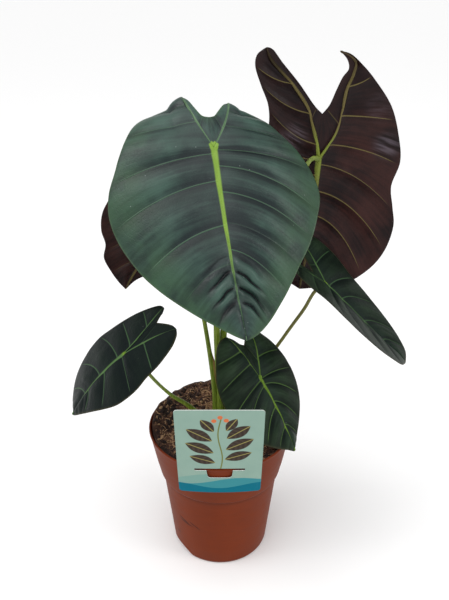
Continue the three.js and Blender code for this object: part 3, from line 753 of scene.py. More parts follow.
(phase, share, _), (reach, off, kind) = (
    blade.split(blade.geo("InputNamedAttribute", {"Name": name}, data_type="FLOAT_VECTOR"))
    for name in ("leaf_veins", "leaf_ribs")
)
place_now = blade.geo("InputPosition")

outwards = ((share ** 0.7) * math.pi).math("SINE").math("MAXIMUM", 0.0) ** 0.8
between_veins = abs((phase * math.pi).math("SINE")) ** 0.8
swell = blade.size("Puff") * between_veins * outwards * (1 - (kind > 1.5) * 0.7)
tissue = (blade.noise(place_now, TISSUE_SIZE, 2.0) - 0.5) * TISSUE_HEIGHT * outwards
wave = (blade.noise(place_now, WAVE_SIZE, 1.0) - 0.5) * WAVE_HEIGHT * (share ** 3.0)
fold_turn = ((reach - off * 0.05) * 0.3 + blade.noise(place_now, FOLD_SIZE, 1.0) * 2.8).math("SINE")
fold_rows = abs(fold_turn) * 2.0 - 1.0
near_fold = blade.drop(abs(reach - blade.size("Pucker Place")), *FOLD_REACH) * (kind < 0.5)
fold = fold_rows * near_fold * blade.drop(off, *FOLD_WIDTH) * blade.step(off, 0.5, 4.0)
pucker = (fold - near_fold * 0.3) * blade.size("Pucker")
marked_folds = blade.store(bent, "fold", fold * blade.size("Pucker").math("MINIMUM", 1.0))
puffed = blade.push(marked_folds, swell + tissue + wave + pucker)

rib_reach = (reach / length).math("MINIMUM", 1.0)
rib_width = RIB_WIDTH_ROOT - rib_reach * RIB_WIDTH_LOSS
edge = (1.0 - share ** 30.0).math("MAXIMUM", 0.0) ** 0.5
rib_shape = (((off / rib_width) ** 2.0) * -1.0).math("EXPONENT") * (1.0 - rib_reach * 0.8) * edge
body = (1.0 - share * 0.4) * THICKNESS * edge
upper = blade.store(blade.push(puffed, body * 0.5 + rib_shape * RIB_ABOVE), "upper", 1.0, "FACE")
lower = blade.store(blade.push(puffed, (body * 0.5 + rib_shape * RIB_BELOW) * -1.0), "upper", 0.0, "FACE")
two_faces = blade.gather(upper, blade.geo("FlipFaces", {0: lower}))
whole = blade.geo("MergeByDistance", {"Geometry": two_faces, "Distance": SAME_POINT})
blade.finish(blade.in_metres(whole))
print("the blade tree has", len(blade.nodes), "nodes")

# %% [markdown]
# ## The colour of a blade
# On the upper face the ribs are lime, the side veins are thin and pale, and painted shade darkens the
# tissue beside them.
# The lower face is purple-brown with olive veins. One recipe serves all leaves, with a table of colours and
# rib widths.

# %% The looks of the three kinds of blade
# In each look, deep is the colour of painted shade on an upper face
LOOKS = {
    "leaf_green": dict(
        length=138, midrib=4.8, costa=2.2, side=1.0, hub=3.1, costa_end=54, dust=0.8, shine=0.3,
        dark=(24, 37, 38), light=(62, 88, 78), deep=(8, 14, 17), near=(50, 54, 56), margin=(50, 82, 50),
        rib=(122, 156, 56), costa_tint=(88, 118, 84), side_tint=(70, 100, 76), rim=(62, 92, 54),
        under_dark=(44, 25, 25), under_light=(64, 40, 38), under_rib=(124, 122, 60),
    ),
    "leaf_dark": dict(
        length=84, midrib=2.8, costa=2.0, side=1.3, hub=1.8, costa_end=46, dust=0.5, shine=0.06,
        dark=(21, 31, 23), light=(49, 67, 48), deep=(12, 20, 21), near=(30, 42, 40), margin=(26, 36, 22),
        rib=(104, 134, 48), costa_tint=(78, 108, 62), side_tint=(62, 90, 58), rim=(58, 56, 34),
        under_dark=(38, 22, 23), under_light=(56, 35, 34), under_rib=(112, 112, 56),
    ),
    "leaf_purple": dict(
        length=118, midrib=4.4, costa=1.25, side=0.9, hub=2.4, costa_end=88, dust=0.0, shine=0.16,
        dark=(24, 38, 34), light=(42, 62, 54), deep=(12, 20, 18), near=(30, 42, 40), margin=(36, 48, 34),
        rib=(126, 142, 54), costa_tint=(88, 116, 72), side_tint=(70, 96, 70), rim=(52, 36, 34),
        under_dark=(20, 10, 12), under_light=(58, 32, 29), under_rib=(112, 101, 58),
    ),
}
BLADE_ROUGHNESS = 0.4
BLADE_RELIEF = 0.35
BLOTCH_SIZE = 28.0
GRAIN_SIZE = 1.6
NET_SIZE = 3.4
DUST_SPACING = 9.0
DUST_COLOUR = paint(190, 200, 196)
SHEEN_COLOUR = paint(104, 96, 106)
SHEEN_REACH = (3.0, 15.0)
VEIN_SHADE_WIDTH = 7.0
RIM_HALF = 0.9

# Painted sheen: spots of painted reflection on a lower face, with their strengths, and the heights between which
# a lower face falls into painted shade
SHEENS = {"leaf_purple": [((124, 66, 369), 0.2), ((132, 66, 338), 0.6), ((57, 66, 346), 0.6)]}
UNDER_SHADE_FROM = 335.0
UNDER_SHADE_TO = 385.0


def blade_material(name, look):
    material, tree = new_material(name)
    look = {key: paint(*value) if isinstance(value, tuple) else value for key, value in look.items()}
    phase, share, gap = tree.split(tree.attribute("leaf_veins", "Vector"))
    reach, off, kind = tree.split(tree.attribute("leaf_ribs", "Vector"))
    fold, lime = tree.attribute("fold"), tree.attribute("lime")
    place = object_place(tree)

    # How far each point lies from the ribs and from the nearest side vein, in millimetres
    far = (reach / look["length"]).math("MINIMUM", 1.0)
    on_midrib = kind < 0.5
    costa_half = (1.0 - far * 0.9) * (look["costa"] / 2)
    midrib_half = (1.0 - far ** 0.8 * 0.82) * (look["midrib"] / 2)
    rib = tree.band(off, costa_half + (midrib_half - costa_half) * on_midrib, 0.35)
    lobe_end = tree.step(reach, look["costa_end"] * 0.7, look["costa_end"], 1.0, 0.25)
    rib = rib * on_midrib.math("MAXIMUM", lobe_end)
    hub = tree.band((reach * reach + off * off) ** 0.5, look["hub"], 0.15)
    is_vein = (kind < 1.5).math("MAXIMUM", phase > 0.5)
    vein_gap = phase.math("PINGPONG", 0.5) * gap
    side_half = (1.0 - share * 0.5) * (look["side"] / 2)
    side = tree.band(vein_gap, side_half, 0.7) * is_vein * tree.attribute("vein_power")
    side = side * tree.drop(share, 0.8, 0.97)
    # Painted shade: the tissue beside each side vein is darkened, as if it lay in the valley of the swelling
    vein_shade = tree.drop(vein_gap, 0.0, VEIN_SHADE_WIDTH) * is_vein
    rim = tree.band(off * (1.0 - share) / (share + 0.02), RIM_HALF) * tree.step(off, 2.0, 6.0)

    # Soft blotches, streaks that follow the veins, a fine net and specks of dust
    blotch = tree.noise(place, BLOTCH_SIZE)
    streak = tree.noise(tree.join(phase * 9.0, share * 1.6, kind * 5.0), 1.0)
    grain = tree.noise(place, GRAIN_SIZE, 2.0)
    net = tree.cells(place, NET_SIZE, "DISTANCE_TO_EDGE")
    speck = tree.drop(tree.cells(place, DUST_SPACING), 0.015, 0.045) * look["dust"]

    # The upper face
    # Painted shade beside the veins, and painted light and shade on the folds: crests lighter, troughs darker
    tone = (blotch - 0.5) * 1.3 + (streak - 0.5) * 0.9 + 0.45 - vein_shade * 0.35 + fold * 0.5
    # Painted light on the lobe rows near the stalk, where the surface faces up to the light
    tone = tone + tree.step(reach, 0.0, 26.0) * (kind > 0.5) * 0.22
    after_vein = phase.math("FRACT")
    shadow_band = tree.step(after_vein, 0.0, 0.07) * tree.drop(after_vein, 0.1, 0.5)
    shadow_band = shadow_band * tree.step(share, 0.05, 0.25) * tree.drop(share, 0.7, 0.95) * (kind < 1.5)
    shadow_band = shadow_band * tree.step(blotch, 0.3, 0.6, 0.35, 1.0)
    margin_green = tree.step(share, 0.45, 1.0) * tree.step(blotch, 0.35, 0.65, 0.3, 1.0) * 0.65
    very_lime = tree.step(lime, 1.0, 1.3)
    lime_here = tree.drop(far, lime * 0.7, lime * 1.2 + 0.05) * on_midrib
    lime_share = lime_here.math("MAXIMUM", hub).math("MAXIMUM", very_lime * 0.75)
    top = tree.layers(
        tree.blend(tree.step(tone, 0.05, 0.95), look["dark"], look["light"]),
        (tree.step(share, 0.05, 0.5, 0.45, 0.0), look["near"]),
        (shadow_band * (on_midrib * 0.35 + 0.25), look["deep"]),
        (margin_green, look["margin"]),
        (tree.attribute("shade"), look["deep"]),
        # Painted shade in the troughs of the folds
        (tree.step(fold * -1.0, 0.02, 0.5), look["deep"]),
        (side * 0.8, tree.blend(very_lime * 0.4, look["side_tint"], look["rib"])),
        (rim * 0.6, look["rim"]),
        (rib, tree.blend(lime_share, look["costa_tint"], look["rib"])),
        (hub * tree.step(lime, 0.0, 0.3), look["rib"]),
        (speck * 0.5, DUST_COLOUR),
    )

    # The lower face
    under_tone = (blotch - 0.5) * 1.5 + (streak - 0.5) * 0.9 + 0.42 + tree.step(share, 0.1, 0.6) * 0.12
    high_up = tree.step(tree.split(place)[2], UNDER_SHADE_FROM, UNDER_SHADE_TO)
    under = tree.layers(
        tree.blend(tree.step(under_tone, 0.05, 0.95), look["under_dark"], look["under_light"]),
        (high_up * 0.6, look["under_dark"]),
        (side * 0.85, look["under_rib"]),
    )
    # Painted reflections: pale sheen spots laid over the lower face
    for spot, strength in SHEENS.get(name, ()):
        spot_gap = tree.add("ShaderNodeVectorMath", {0: place, 1: spot}, "Value", operation="DISTANCE")
        sheen = tree.drop(spot_gap, *SHEEN_REACH) * tree.step(streak, 0.35, 0.7)
        under = tree.blend(sheen * strength, under, SHEEN_COLOUR)
    under_rib = tree.blend(tree.step(reach, 8.0, 34.0, 0.85, 0.0), look["under_rib"], look["rib"])
    under = tree.blend(rib.math("MAXIMUM", hub) * (1.0 - far * 0.45), under, under_rib)

    colour = tree.blend(tree.attribute("upper"), under, top)
    roughness = (blotch - 0.5) * 0.16 + (grain - 0.5) * 0.12 + BLADE_ROUGHNESS
    height = streak * 0.35 + grain * 0.12 + tree.step(net, 0.0, 0.12) * 0.12 + side * 0.4
    finish(tree, colour, roughness, height, BLADE_RELIEF, Specular_IOR_Level=look["shine"])
    return material


blade_materials = {name: blade_material(name, look) for name, look in LOOKS.items()}
print("blade materials:", list(blade_materials))

# %% [markdown]
# ## Growing the leaves
# The three axes of a leaf say which way its tip points, which way its upper face looks, and what lies across
# it. Each leaf is then a flat blade, the bending tree, and one row of sizes.

# %% The axes of a leaf
def leaf_axes(heading, droop, roll):
    """Across, along and face as unit vectors, for a tip that points at a heading and droops below level."""
    h = math.radians(heading)
    d = math.radians(droop)
    along_tip = Vector((math.cos(d) * math.cos(h), math.cos(d) * math.sin(h), -math.sin(d)))
    up = Vector((math.sin(d) * math.cos(h), math.sin(d) * math.sin(h), math.cos(d)))
    face = Matrix.Rotation(math.radians(roll), 3, along_tip) @ up
    return along_tip.cross(face), along_tip, face


# %% The six blades
BLADE_KINDS = {"front": "leaf_green", "back": "leaf_purple", "right": "leaf_dark", "left": "leaf_purple",
               "centre": "leaf_dark", "low": "leaf_dark"}

# How high the folds near the tip are and where they lie, and how lime and how shaded each upper face is
PUCKERS = {"front": (2.5, 97.0)}
SMALL_PUCKER = (0.2, 60.0)
LEAF_TONES = {"front": (0.62, 0.0), "back": (1.0, 0.0), "right": (0.0, 0.3), "left": (0.8, 0.0),
              "centre": (1.2, 0.0), "low": (0.0, 0.84)}

for name, leaf in LEAVES.items():
    across, tip_way, face = leaf_axes(*leaf["turn"])
    pucker, pucker_place = PUCKERS.get(name, SMALL_PUCKER)
    slot = BLADE_KINDS[name]
    blade_piece = shaped(
        "leaf_" + name, flat_blade(name, leaf), blade, length=leaf["length"], lobe=leaf["lobe"],
        pucker=pucker, pucker_place=pucker_place, across=across, along=tip_way, face=face, place=leaf["at"],
        finish=blade_materials[slot], **leaf["bend"],
    )
    for label, tone in zip(("lime", "shade"), LEAF_TONES[name]):
        mark(blade_piece, label, tone)
    dress(blade_piece, slot, "blade_" + name)

# %% [markdown]
# ## The stalks
# A stalk is a round rod that thins towards the blade. It is swept along a smooth line with Curve to Mesh. Its
# radius comes from the share of the way along, so one tree makes all six.

# %% The tree that sweeps a stalk
STALK_SEAT = 2.3
STALK_APPROACH = 9.0
STALK_SUNK = 96.0
STALK_CLEAR = 119.0
STALK_POINTS = 90
STALK_SIDES = 20
STALK_END = 0.3
TAPER_SPEED = 1.6
TOP_SWELLING = 0.5
TOP_FROM = 0.955
FOOT_SWELLING = 0.9
FOOT_FALL = (118.0, 152.0)
BUMP_SIZE = 16.0
BUMP_SHARE = 0.08
SHEATH_RISE = (140.0, 180.0)
SHEATH_FALL = (205.0, 235.0)
WING_RISE = (150.0, 172.0)
WING_FALL = (174.0, 189.0)
WING_X = 0.92
WING_Y = -0.39

rod = Shaper("sweep_a_stalk", ("Wide", "Thin", "Sheath", "Wing"))
path = rod.geo("MeshToCurve", {0: rod.size("Geometry")})
way = rod.geo("SplineParameter")
height = rod.split(rod.geo("InputPosition"))[2]
taper = (way * TAPER_SPEED).math("MINIMUM", 1.0)
rod_radius = rod.size("Wide") + (rod.size("Thin") - rod.size("Wide")) * taper
rod_radius = rod_radius + rod.step(way, TOP_FROM, 1.0) * TOP_SWELLING
rod_radius = rod_radius + rod.step(height, *FOOT_FALL, FOOT_SWELLING, 0.0)
rod_radius = rod_radius + rod.step(height, *SHEATH_RISE) * rod.drop(height, *SHEATH_FALL) * rod.size("Sheath")
bumps = (rod.noise(rod.geo("InputPosition"), BUMP_SIZE, 1.0) - 0.5) * BUMP_SHARE + 1.0
ring = rod.geo("CurvePrimitiveCircle", {"Resolution": STALK_SIDES, "Radius": 1.0})
swept = rod.geo("CurveToMesh", {
    "Curve": rod.store(path, "stalk_way", way), "Profile Curve": ring, "Scale": rod_radius * bumps,
    "Fill Caps": True,
})
on_sheath = rod.step(height, *WING_RISE) * rod.drop(height, *WING_FALL)
outwards = rod.split(rod.geo("InputNormal"))
facing = outwards[0] * WING_X + outwards[1] * WING_Y
wing = rod.step(facing, 0.8, 1.0) * on_sheath * rod.size("Wing")
winged = rod.move(rod.store(swept, "wing", wing), Offset=rod.join(wing * WING_X, wing * WING_Y, 0.0))
rod.finish(rod.in_metres(winged))


def stalk_line(leaf):
    """The dense centre line of a stalk, from deep in the soil into the blade."""
    _, _, face = leaf_axes(*leaf["turn"])
    joint = Vector(leaf["at"])
    stalk = leaf["stalk"]
    approach = stalk.get("approach", joint - face * (STALK_SEAT + STALK_APPROACH))
    stops = [(*stalk["foot"], STALK_SUNK), (*stalk["foot"], STALK_CLEAR), *stalk["via"]]
    stops += [tuple(approach), tuple(joint - face * STALK_SEAT)]
    return np.vstack([knot_curve(stops, 0.5), np.array(joint - face * STALK_END)[None]])


def polyline(name, points):
    mesh = bpy.data.meshes.new(name)
    mesh.from_pydata([tuple(p) for p in points], [(i, i + 1) for i in range(len(points) - 1)], [])
    return mesh


# %% The stalk finish
STALK_LOW = ((98, 122, 24), (138, 158, 56))
STALK_HIGH = ((100, 116, 48), (134, 150, 72))
STREAK_SIZE = 1.2
FLECK_SIZE = 2.2
FLECK_COLOUR = paint(92, 60, 44)
DRY_COLOUR = paint(166, 132, 84)
OLIVE_COLOUR = paint(122, 112, 62)
STALK_RELIEF = 0.12


def stalk_material(name):
    material, tree = new_material(name)
    x, y, z = tree.split(object_place(tree))
    streak = tree.noise(tree.join(x, y, z * 0.06), STREAK_SIZE)
    fleck = tree.noise(tree.join(x, y, z * 0.3), FLECK_SIZE, 2.0)
    streaked = tree.step(streak, 0.3, 0.75)
    low, high = (tree.blend(streaked, paint(*one), paint(*two)) for one, two in (STALK_LOW, STALK_HIGH))
    colour = tree.layers(
        tree.blend(tree.step(tree.attribute("stalk_way"), 0.25, 0.95), low, high),
        (tree.step(fleck, 0.68, 0.8) * 0.5, FLECK_COLOUR),
        (tree.step(tree.attribute("wing"), 0.2, 0.7), DRY_COLOUR),
        (tree.attribute("olive"), OLIVE_COLOUR),
    )
    finish(tree, colour, (fleck - 0.5) * 0.2 + 0.42, streak, STALK_RELIEF, Specular_IOR_Level=0.25)
    return material


stalk_finish = stalk_material("stalk")
for name, leaf in LEAVES.items():
    points = along(stalk_line(leaf), np.linspace(0, 1, STALK_POINTS))
    stalk = leaf["stalk"]
    stalk_piece = shaped("stem_" + name, polyline(name, points), rod, finish=stalk_finish, **stalk)
    mark(stalk_piece, "olive", stalk.get("olive", 0))
    dress(stalk_piece, "stalk", "petiole_" + name)

# %% [markdown]
# ## The pot
# A nursery pot is pressed from one sheet of plastic: a tapered body, a step, and a wider collar that stiffens
# it. The wall is a profile turned round the axis. The drain slots and the two notches of the foot are cut
# with Boolean modifiers, as a die would punch them.

# %% The turned wall
POT_HEIGHT = 120.0
RIM_RADIUS = 60.0
COLLAR_RADIUS = 51.4
COLLAR_BOTTOM = 77.0
COLLAR_STEP = 1.9
FOOT_RADIUS = 41.0
WALL = 1.5
POT_SEGMENTS = 192
BODY_TOP = COLLAR_RADIUS - COLLAR_STEP


def wall_radius(z):
    """The pot's outer radius at a height."""
    if z < COLLAR_BOTTOM:
        return FOOT_RADIUS + (BODY_TOP - FOOT_RADIUS) * z / COLLAR_BOTTOM
    share = (z - COLLAR_BOTTOM) / (POT_HEIGHT - COLLAR_BOTTOM)
    return COLLAR_RADIUS + (RIM_RADIUS - COLLAR_RADIUS) * share


OUTSIDE = [
    (0, 0), (19.4, 0), (20, 0.3), (20.6, 1.6), (21.4, 2.5), (34.6, 2.5), (35.4, 1.6), (35.8, 0.3), (36.3, 0),
    (38.6, 0), (39.8, 0.2), (40.7, 0.9), (wall_radius(2.4), 2.4), (wall_radius(20), 20),
    (wall_radius(40), 40), (wall_radius(60), 60), (wall_radius(75.4), 75.4), (BODY_TOP + 0.1, 76.5),
    (COLLAR_RADIUS - 1.1, 76.9),
    (COLLAR_RADIUS - 0.4, 77.3), (COLLAR_RADIUS + 0.2, 78.2), (COLLAR_RADIUS + 0.6, 79.6),
    (COLLAR_RADIUS + 1.1, 82), (wall_radius(90) + 0.3, 90), (wall_radius(105) + 0.1, 105), (59.2, 116.5),
    (59.5, 117.6), (59.95, 118.3), (60, 119.1), (59.8, 119.7), (59.3, 120),
]
INSIDE = [
    (58.9, 119.9), (58.4, 119.3), (wall_radius(117) - WALL, 117), (wall_radius(100) - WALL, 100),
    (wall_radius(79) - WALL, 79), (wall_radius(77) - WALL - 0.8, 77.4), (BODY_TOP - WALL, 75.5),
    (wall_radius(40) - WALL, 40), (wall_radius(6) - WALL, 6.5), (38.2, 5), (36.5, 4.5), (0, 4.5),
]


def turned(name, profile, segments):
    """A closed surface made by turning a profile about the vertical axis. Its ends lie on the axis."""
    shape = bmesh.new()
    rings = []
    for radius, z in profile:
        if radius == 0:
            rings.append([shape.verts.new((0, 0, z * MM))])
            continue
        turns = (2 * math.pi * k / segments for k in range(segments))
        places = ((radius * math.cos(a) * MM, radius * math.sin(a) * MM, z * MM) for a in turns)
        rings.append([shape.verts.new(place) for place in places])
    for lower, upper in zip(rings, rings[1:]):
        for k in range(segments):
            n = (k + 1) % segments
            corners = [lower[k % len(lower)], lower[n % len(lower)]]
            corners += [upper[n % len(upper)], upper[k % len(upper)]]
            shape.faces.new(list(dict.fromkeys(corners)))
    bmesh.ops.recalc_face_normals(shape, faces=shape.faces)
    piece = from_shape(name, shape)
    piece.data.shade_smooth()
    return piece


pot_piece = turned("nursery_pot", OUTSIDE + INSIDE, POT_SEGMENTS)

# %% The cuts
NOTCH_RADIUS = 9.0
NOTCH_STRETCH = 1.9
NOTCH_SPREAD = 1.7
NOTCH_CUT = 4
NOTCH_DROP = 0.45
NOTCH_ANGLES = (212, 32)
SLOT_SIZE = (9.0, 4.5, 12.0)
SLOT_PLACE = 28.0
SLOT_HEIGHT = 3.5
SLOT_COUNT = 6
SHARP_ANGLE = math.radians(42)


def cutter(name, mesh_maker, place, angle):
    """A solid that is turned about the pot's axis and only serves to cut."""
    shape = bmesh.new()
    mesh_maker(shape)
    bmesh.ops.translate(shape, verts=shape.verts, vec=Vector(place) * MM)
    bmesh.ops.rotate(shape, verts=shape.verts, matrix=Matrix.Rotation(math.radians(angle), 3, "Z"))
    return from_shape(name, shape)


def notch_shape(shape):
    bmesh.ops.create_cone(shape, cap_ends=True, segments=64, radius1=NOTCH_SPREAD * NOTCH_RADIUS * MM,
                          radius2=NOTCH_RADIUS * MM, depth=2 * NOTCH_RADIUS * MM)
    bmesh.ops.rotate(shape, verts=shape.verts, matrix=Matrix.Rotation(math.radians(-90), 3, "Y"))
    bmesh.ops.scale(shape, verts=shape.verts, vec=(1, NOTCH_STRETCH, 1))


def slot_shape(shape):
    bmesh.ops.create_cube(shape, size=MM)
    bmesh.ops.scale(shape, verts=shape.verts, vec=SLOT_SIZE)


NOTCH_PLACE = FOOT_RADIUS + NOTCH_RADIUS - NOTCH_CUT
cutters = [
    cutter(f"notch_{angle}", notch_shape, (NOTCH_PLACE, 0, -NOTCH_DROP * NOTCH_RADIUS), angle)
    for angle in NOTCH_ANGLES
]
cutters += [
    cutter(f"slot_{i}", slot_shape, (SLOT_PLACE, 0, SLOT_HEIGHT), (i + 0.5) * 360 / SLOT_COUNT)
    for i in range(SLOT_COUNT)
]
for tool in cutters:
    cut = pot_piece.modifiers.new(tool.name, "BOOLEAN")
    cut.object = tool
    cut.operation = "DIFFERENCE"
    cut.solver = "EXACT"
cut_mesh = evaluated_mesh(pot_piece)
pot_piece.modifiers.clear()
pot_piece.data = cut_mesh
for tool in cutters:
    bpy.data.objects.remove(tool)
cut_mesh.set_sharp_from_angle(angle=SHARP_ANGLE)

# %% The pot plastic
SCUFFS = [
    (-28.5, 41.5, 5.0, -0.2), (-30.5, 43.8, 4.0, -0.5), (-21.5, 42.6, 4.0, -0.6), (-35.9, 22.5, 1.2, 0.0),
]
SCUFF_HALF = 0.75
COLLAR_SHADE_PLACE = 75.6
COLLAR_SHADE_HALF = 2.4
CLOUD_SIZE = 40.0
FLOW_SIZE = 9.0
POT_GRAIN_SIZE = 0.7
POT_RELIEF = 0.12


def pot_material(name):
    material, tree = new_material(name)
    place = object_place(tree)
    x, y, z = tree.split(place)
    cloud = tree.noise(tree.join(x, y, z * 0.5), CLOUD_SIZE)
    flow = tree.noise(tree.join(x * 0.6, y * 0.6, z * 2.4), FLOW_SIZE, 4.0)
    grain = tree.noise(place, POT_GRAIN_SIZE, 2.0)
    tone = (cloud - 0.5) * 0.9 + (flow - 0.5) * 0.6 + 0.5
    colour = tree.layers(
        tree.blend(tree.step(tone, 0.1, 0.9), paint(101, 39, 12), paint(116, 47, 17)),
        (tree.step(z, 0.0, 60.0, 0.2, 0.0), paint(134, 57, 24)),
        # Painted shade in a band under the collar's overhang
        (tree.band(abs(z - COLLAR_SHADE_PLACE), COLLAR_SHADE_HALF, 0.9) * 0.45, paint(76, 32, 17)),
    )
    for scuff_x, scuff_z, half, slope in SCUFFS:
        bow = (x - scuff_x) * slope + (tree.noise(place, 5.0, 1.0) - 0.5) * 1.4
        scuff = tree.band(abs(z - scuff_z - bow), SCUFF_HALF, 0.8) * tree.band(abs(x - scuff_x), half)
        scuff = scuff * (y < 0.0)
        colour = tree.blend(scuff * 0.9, colour, paint(56, 24, 15))
    dirt = tree.step(tree.noise(place, 3.0, 4.0), 0.62, 0.72)
    colour = tree.blend(dirt * 0.25, colour, paint(78, 44, 32))
    finish(tree, colour, (flow - 0.5) * 0.2 + 0.5, grain * 0.5 + flow * 0.5, POT_RELIEF, Specular_IOR_Level=0.09)
    return material


pot_piece.data.materials.append(pot_material("pot_plastic"))
dress(pot_piece, "pot_plastic", "pot")

# %% [markdown]
# ## The soil
# Potting soil is peat with coconut fibre. Seen from near it is a heap of dark crumbs with light curly threads
# on top. A turned plug carries the mound, and Geometry Nodes strews crumbs, grains, flat chips and threads
# over it.

# %% The plug and its strewn top
SOIL_LEVEL = 115.0
SOIL_REACH = 57.2
SOIL_SEGMENTS = 120
SOIL_RINGS = 64
SOIL_SIZES = ("Crumbs", "Threads", "Crumb Size", "Thread Size")
SOIL_EDGE = 0.965
THREAD_EDGE = 0.88
CLOD_SIZE = 9.0
CLOD_HEIGHT = 8.0
HALF_THREAD = 3
THREAD_RADIUS = 0.24

plug_profile = [(0, 4.9), (37.6, 4.9), (39.2, 6.2), (44, 40), (47.2, 74), (50, 79.5), (53.7, 100)]
plug_profile += [(SOIL_REACH * i / SOIL_RINGS, SOIL_LEVEL) for i in range(SOIL_RINGS, -1, -1)]
plug = turned("soil_plug", plug_profile, SOIL_SEGMENTS)

soil = Shaper("strew_soil", SOIL_SIZES)
crumbs, threads, crumb_size, thread_size = (soil.size(label) for label in SOIL_SIZES)
place = soil.scaled(soil.geo("InputPosition"), 1 / MM)
x, y, z = soil.split(place)
top = z > SOIL_LEVEL - 1
sx = x / SOIL_REACH
sy = y / SOIL_REACH
out_share = ((sx * sx + sy * sy) ** 0.5).math("MINIMUM", 1.0)
lumps = (sx * 7.0 + 1.3).math("SINE") * (sy * 6.0 - 0.6).math("COSINE")
lumps = lumps + (sx * sy * 11.0 + sy * 9.0 + 2.0).math("SINE") * 0.6
mound = (1.0 - out_share) ** 1.5 * out_share * 5.0 + out_share ** 3.0 * 2.6
heap = soil.step(sx * -0.7 + sy * 0.7, 0.15, 0.95) * 5.0
clods = (soil.noise(place, CLOD_SIZE) - 0.5) * CLOD_HEIGHT + (soil.noise(place, 2.4, 2.0) - 0.5) * 2.6
height = mound + lumps * 1.1 * out_share ** 0.5 + sy * out_share * 3.4 + heap + clods
surface = soil.move(soil.size("Geometry"), Offset=soil.join(0.0, 0.0, height * top * MM))
surface = soil.store(surface, "tint", soil.noise(place, 3.0) * 0.8)


def random_value(low, high, seed):
    """A random number, or a random vector if low and high have three parts."""
    kind, first, out = ("FLOAT_VECTOR", 0, 0) if isinstance(low, tuple) else ("FLOAT", 2, 1)
    inputs = {first: low, first + 1: high, "Seed": seed}
    return soil.add("FunctionNodeRandomValue", inputs, out, data_type=kind)


def strewn(thing, density, seed, size, spread, tilt, tints, reach=SOIL_EDGE):
    """Copies of a thing all over the soil's top, turned and sized at random."""
    points = soil.geo("DistributePointsOnFaces", {
        "Mesh": surface, "Selection": top * (out_share < reach), "Density": density, "Seed": seed,
    })
    turn = random_value((-tilt, -tilt, 0.0), (tilt, tilt, 2 * math.pi), seed)
    shape = random_value((1 - spread,) * 3, (1 + spread,) * 3, seed + 1)
    scale = soil.scaled(shape, size * random_value(0.4, 1.0, seed + 2))
    copies = soil.geo("InstanceOnPoints", {
        "Points": points, "Instance": thing, "Rotation": turn, "Scale": scale,
    })
    return soil.store(copies, "tint", random_value(*tints, seed + 3), "INSTANCE")


crumb = soil.geo("MeshIcoSphere", {"Radius": MM, "Subdivisions": 2})
rough_crumb = soil.push(crumb, (soil.noise(place, 0.9, 2.0) - 0.5) * 0.9 * MM)
grain = soil.geo("MeshIcoSphere", {"Radius": MM, "Subdivisions": 1})
chip = soil.geo("Transform", {"Geometry": grain, "Scale": (2.3, 0.9, 0.45)})
curl = soil.geo("CurveQuadraticBezier", {
    "Resolution": 7, "Start": (-HALF_THREAD * MM, 0, 0), "Middle": (0, 2.4 * MM, 1.4 * MM),
    "End": (HALF_THREAD * MM, -0.4 * MM, 0.2 * MM),
})
thread_ring = soil.geo("CurvePrimitiveCircle", {"Resolution": 4, "Radius": THREAD_RADIUS * MM})
thread = soil.geo("CurveToMesh", {"Curve": curl, "Profile Curve": thread_ring, "Fill Caps": True})
soil.finish(soil.gather(
    surface,
    strewn(rough_crumb, crumbs, 11, crumb_size * 1.5, 0.45, 3.0, (0.05, 0.55)),
    strewn(grain, crumbs * 3.0, 21, crumb_size * 0.7, 0.4, 3.0, (0.0, 0.65)),
    strewn(chip, crumbs * 2.0, 51, crumb_size * 0.75, 0.5, 0.9, (0.3, 1.0)),
    strewn(thread, threads, 31, thread_size, 0.5, 0.7, (0.6, 1.0), THREAD_EDGE),
))


# %% The soil finish
SOIL_STOPS = [(0.1, (36, 23, 18)), (0.34, (82, 54, 41)), (0.62, (140, 104, 76)), (0.92, (198, 160, 120))]
FINE_SIZE = 1.1
DAMP_SIZE = 16.0
SOIL_ROUGHNESS = 0.88
SOIL_RELIEF = 0.5


def soil_material(name):
    material, tree = new_material(name)
    place = object_place(tree)
    tint = tree.attribute("tint")
    fine = tree.noise(place, FINE_SIZE)
    damp = tree.noise(place, DAMP_SIZE, 2.0)
    shade = (tint - 0.42) * 1.8 + 0.39 + (fine - 0.5) * 0.5 - (damp - 0.5) * 1.0
    # Painted shade: the soil is darker towards the left, for the dark hollows by the rim
    shade = shade - tree.step(tree.split(place)[0], -48.0, -20.0, 0.12, 0.0)
    colour = tree.add("ShaderNodeValToRGB", {0: shade})
    stops = colour.socket.node.color_ramp.elements
    while len(stops) < len(SOIL_STOPS):
        stops.new(0.5)
    for stop, (share, screen_colour) in zip(stops, SOIL_STOPS):
        stop.position = share
        stop.color = paint(*screen_colour)
    finish(tree, colour, (fine - 0.5) * 0.15 + SOIL_ROUGHNESS, fine, SOIL_RELIEF)
    return material


soil_piece = shaped("soil_heap", plug.data, soil, finish=soil_material("soil"), crumbs=40000.0,
                    threads=36000.0, crumb_size=1.6, thread_size=1.4)
bpy.data.objects.remove(plug)
dress(soil_piece, "soil", "soil")

# %% [markdown]
# ## The hang card
# The card is one stamped sheet of plastic. A curved cut leaves a tongue, which folds back over the pot's rim.
# The outline is filled and cut into strips, so that the sheet can bow a little, and then it gets its
# thickness.

# %% The sheet
CARD_TOP = 33.0
CARD_LOW = 32.25
CARD_ABOVE = 65.0
CARD_BELOW = 28.0
CARD_CORNER = 3.0
CARD_THICK = 0.5
CARD_LEAN = math.radians(11)
CARD_BACK = -60.65
CARD_HUNG = 121.0
CARD_BOW = 2.6
BOW_FROM = 12
BOW_OVER = 40
CARD_CURL = 0.8
SLIT_HALF = 19.5
SLIT_UP = 1.3
TONGUE_HALF = 10.25
TONGUE_LONG = 10.0
STRIP = 3.0
CORNER_STEPS = 6


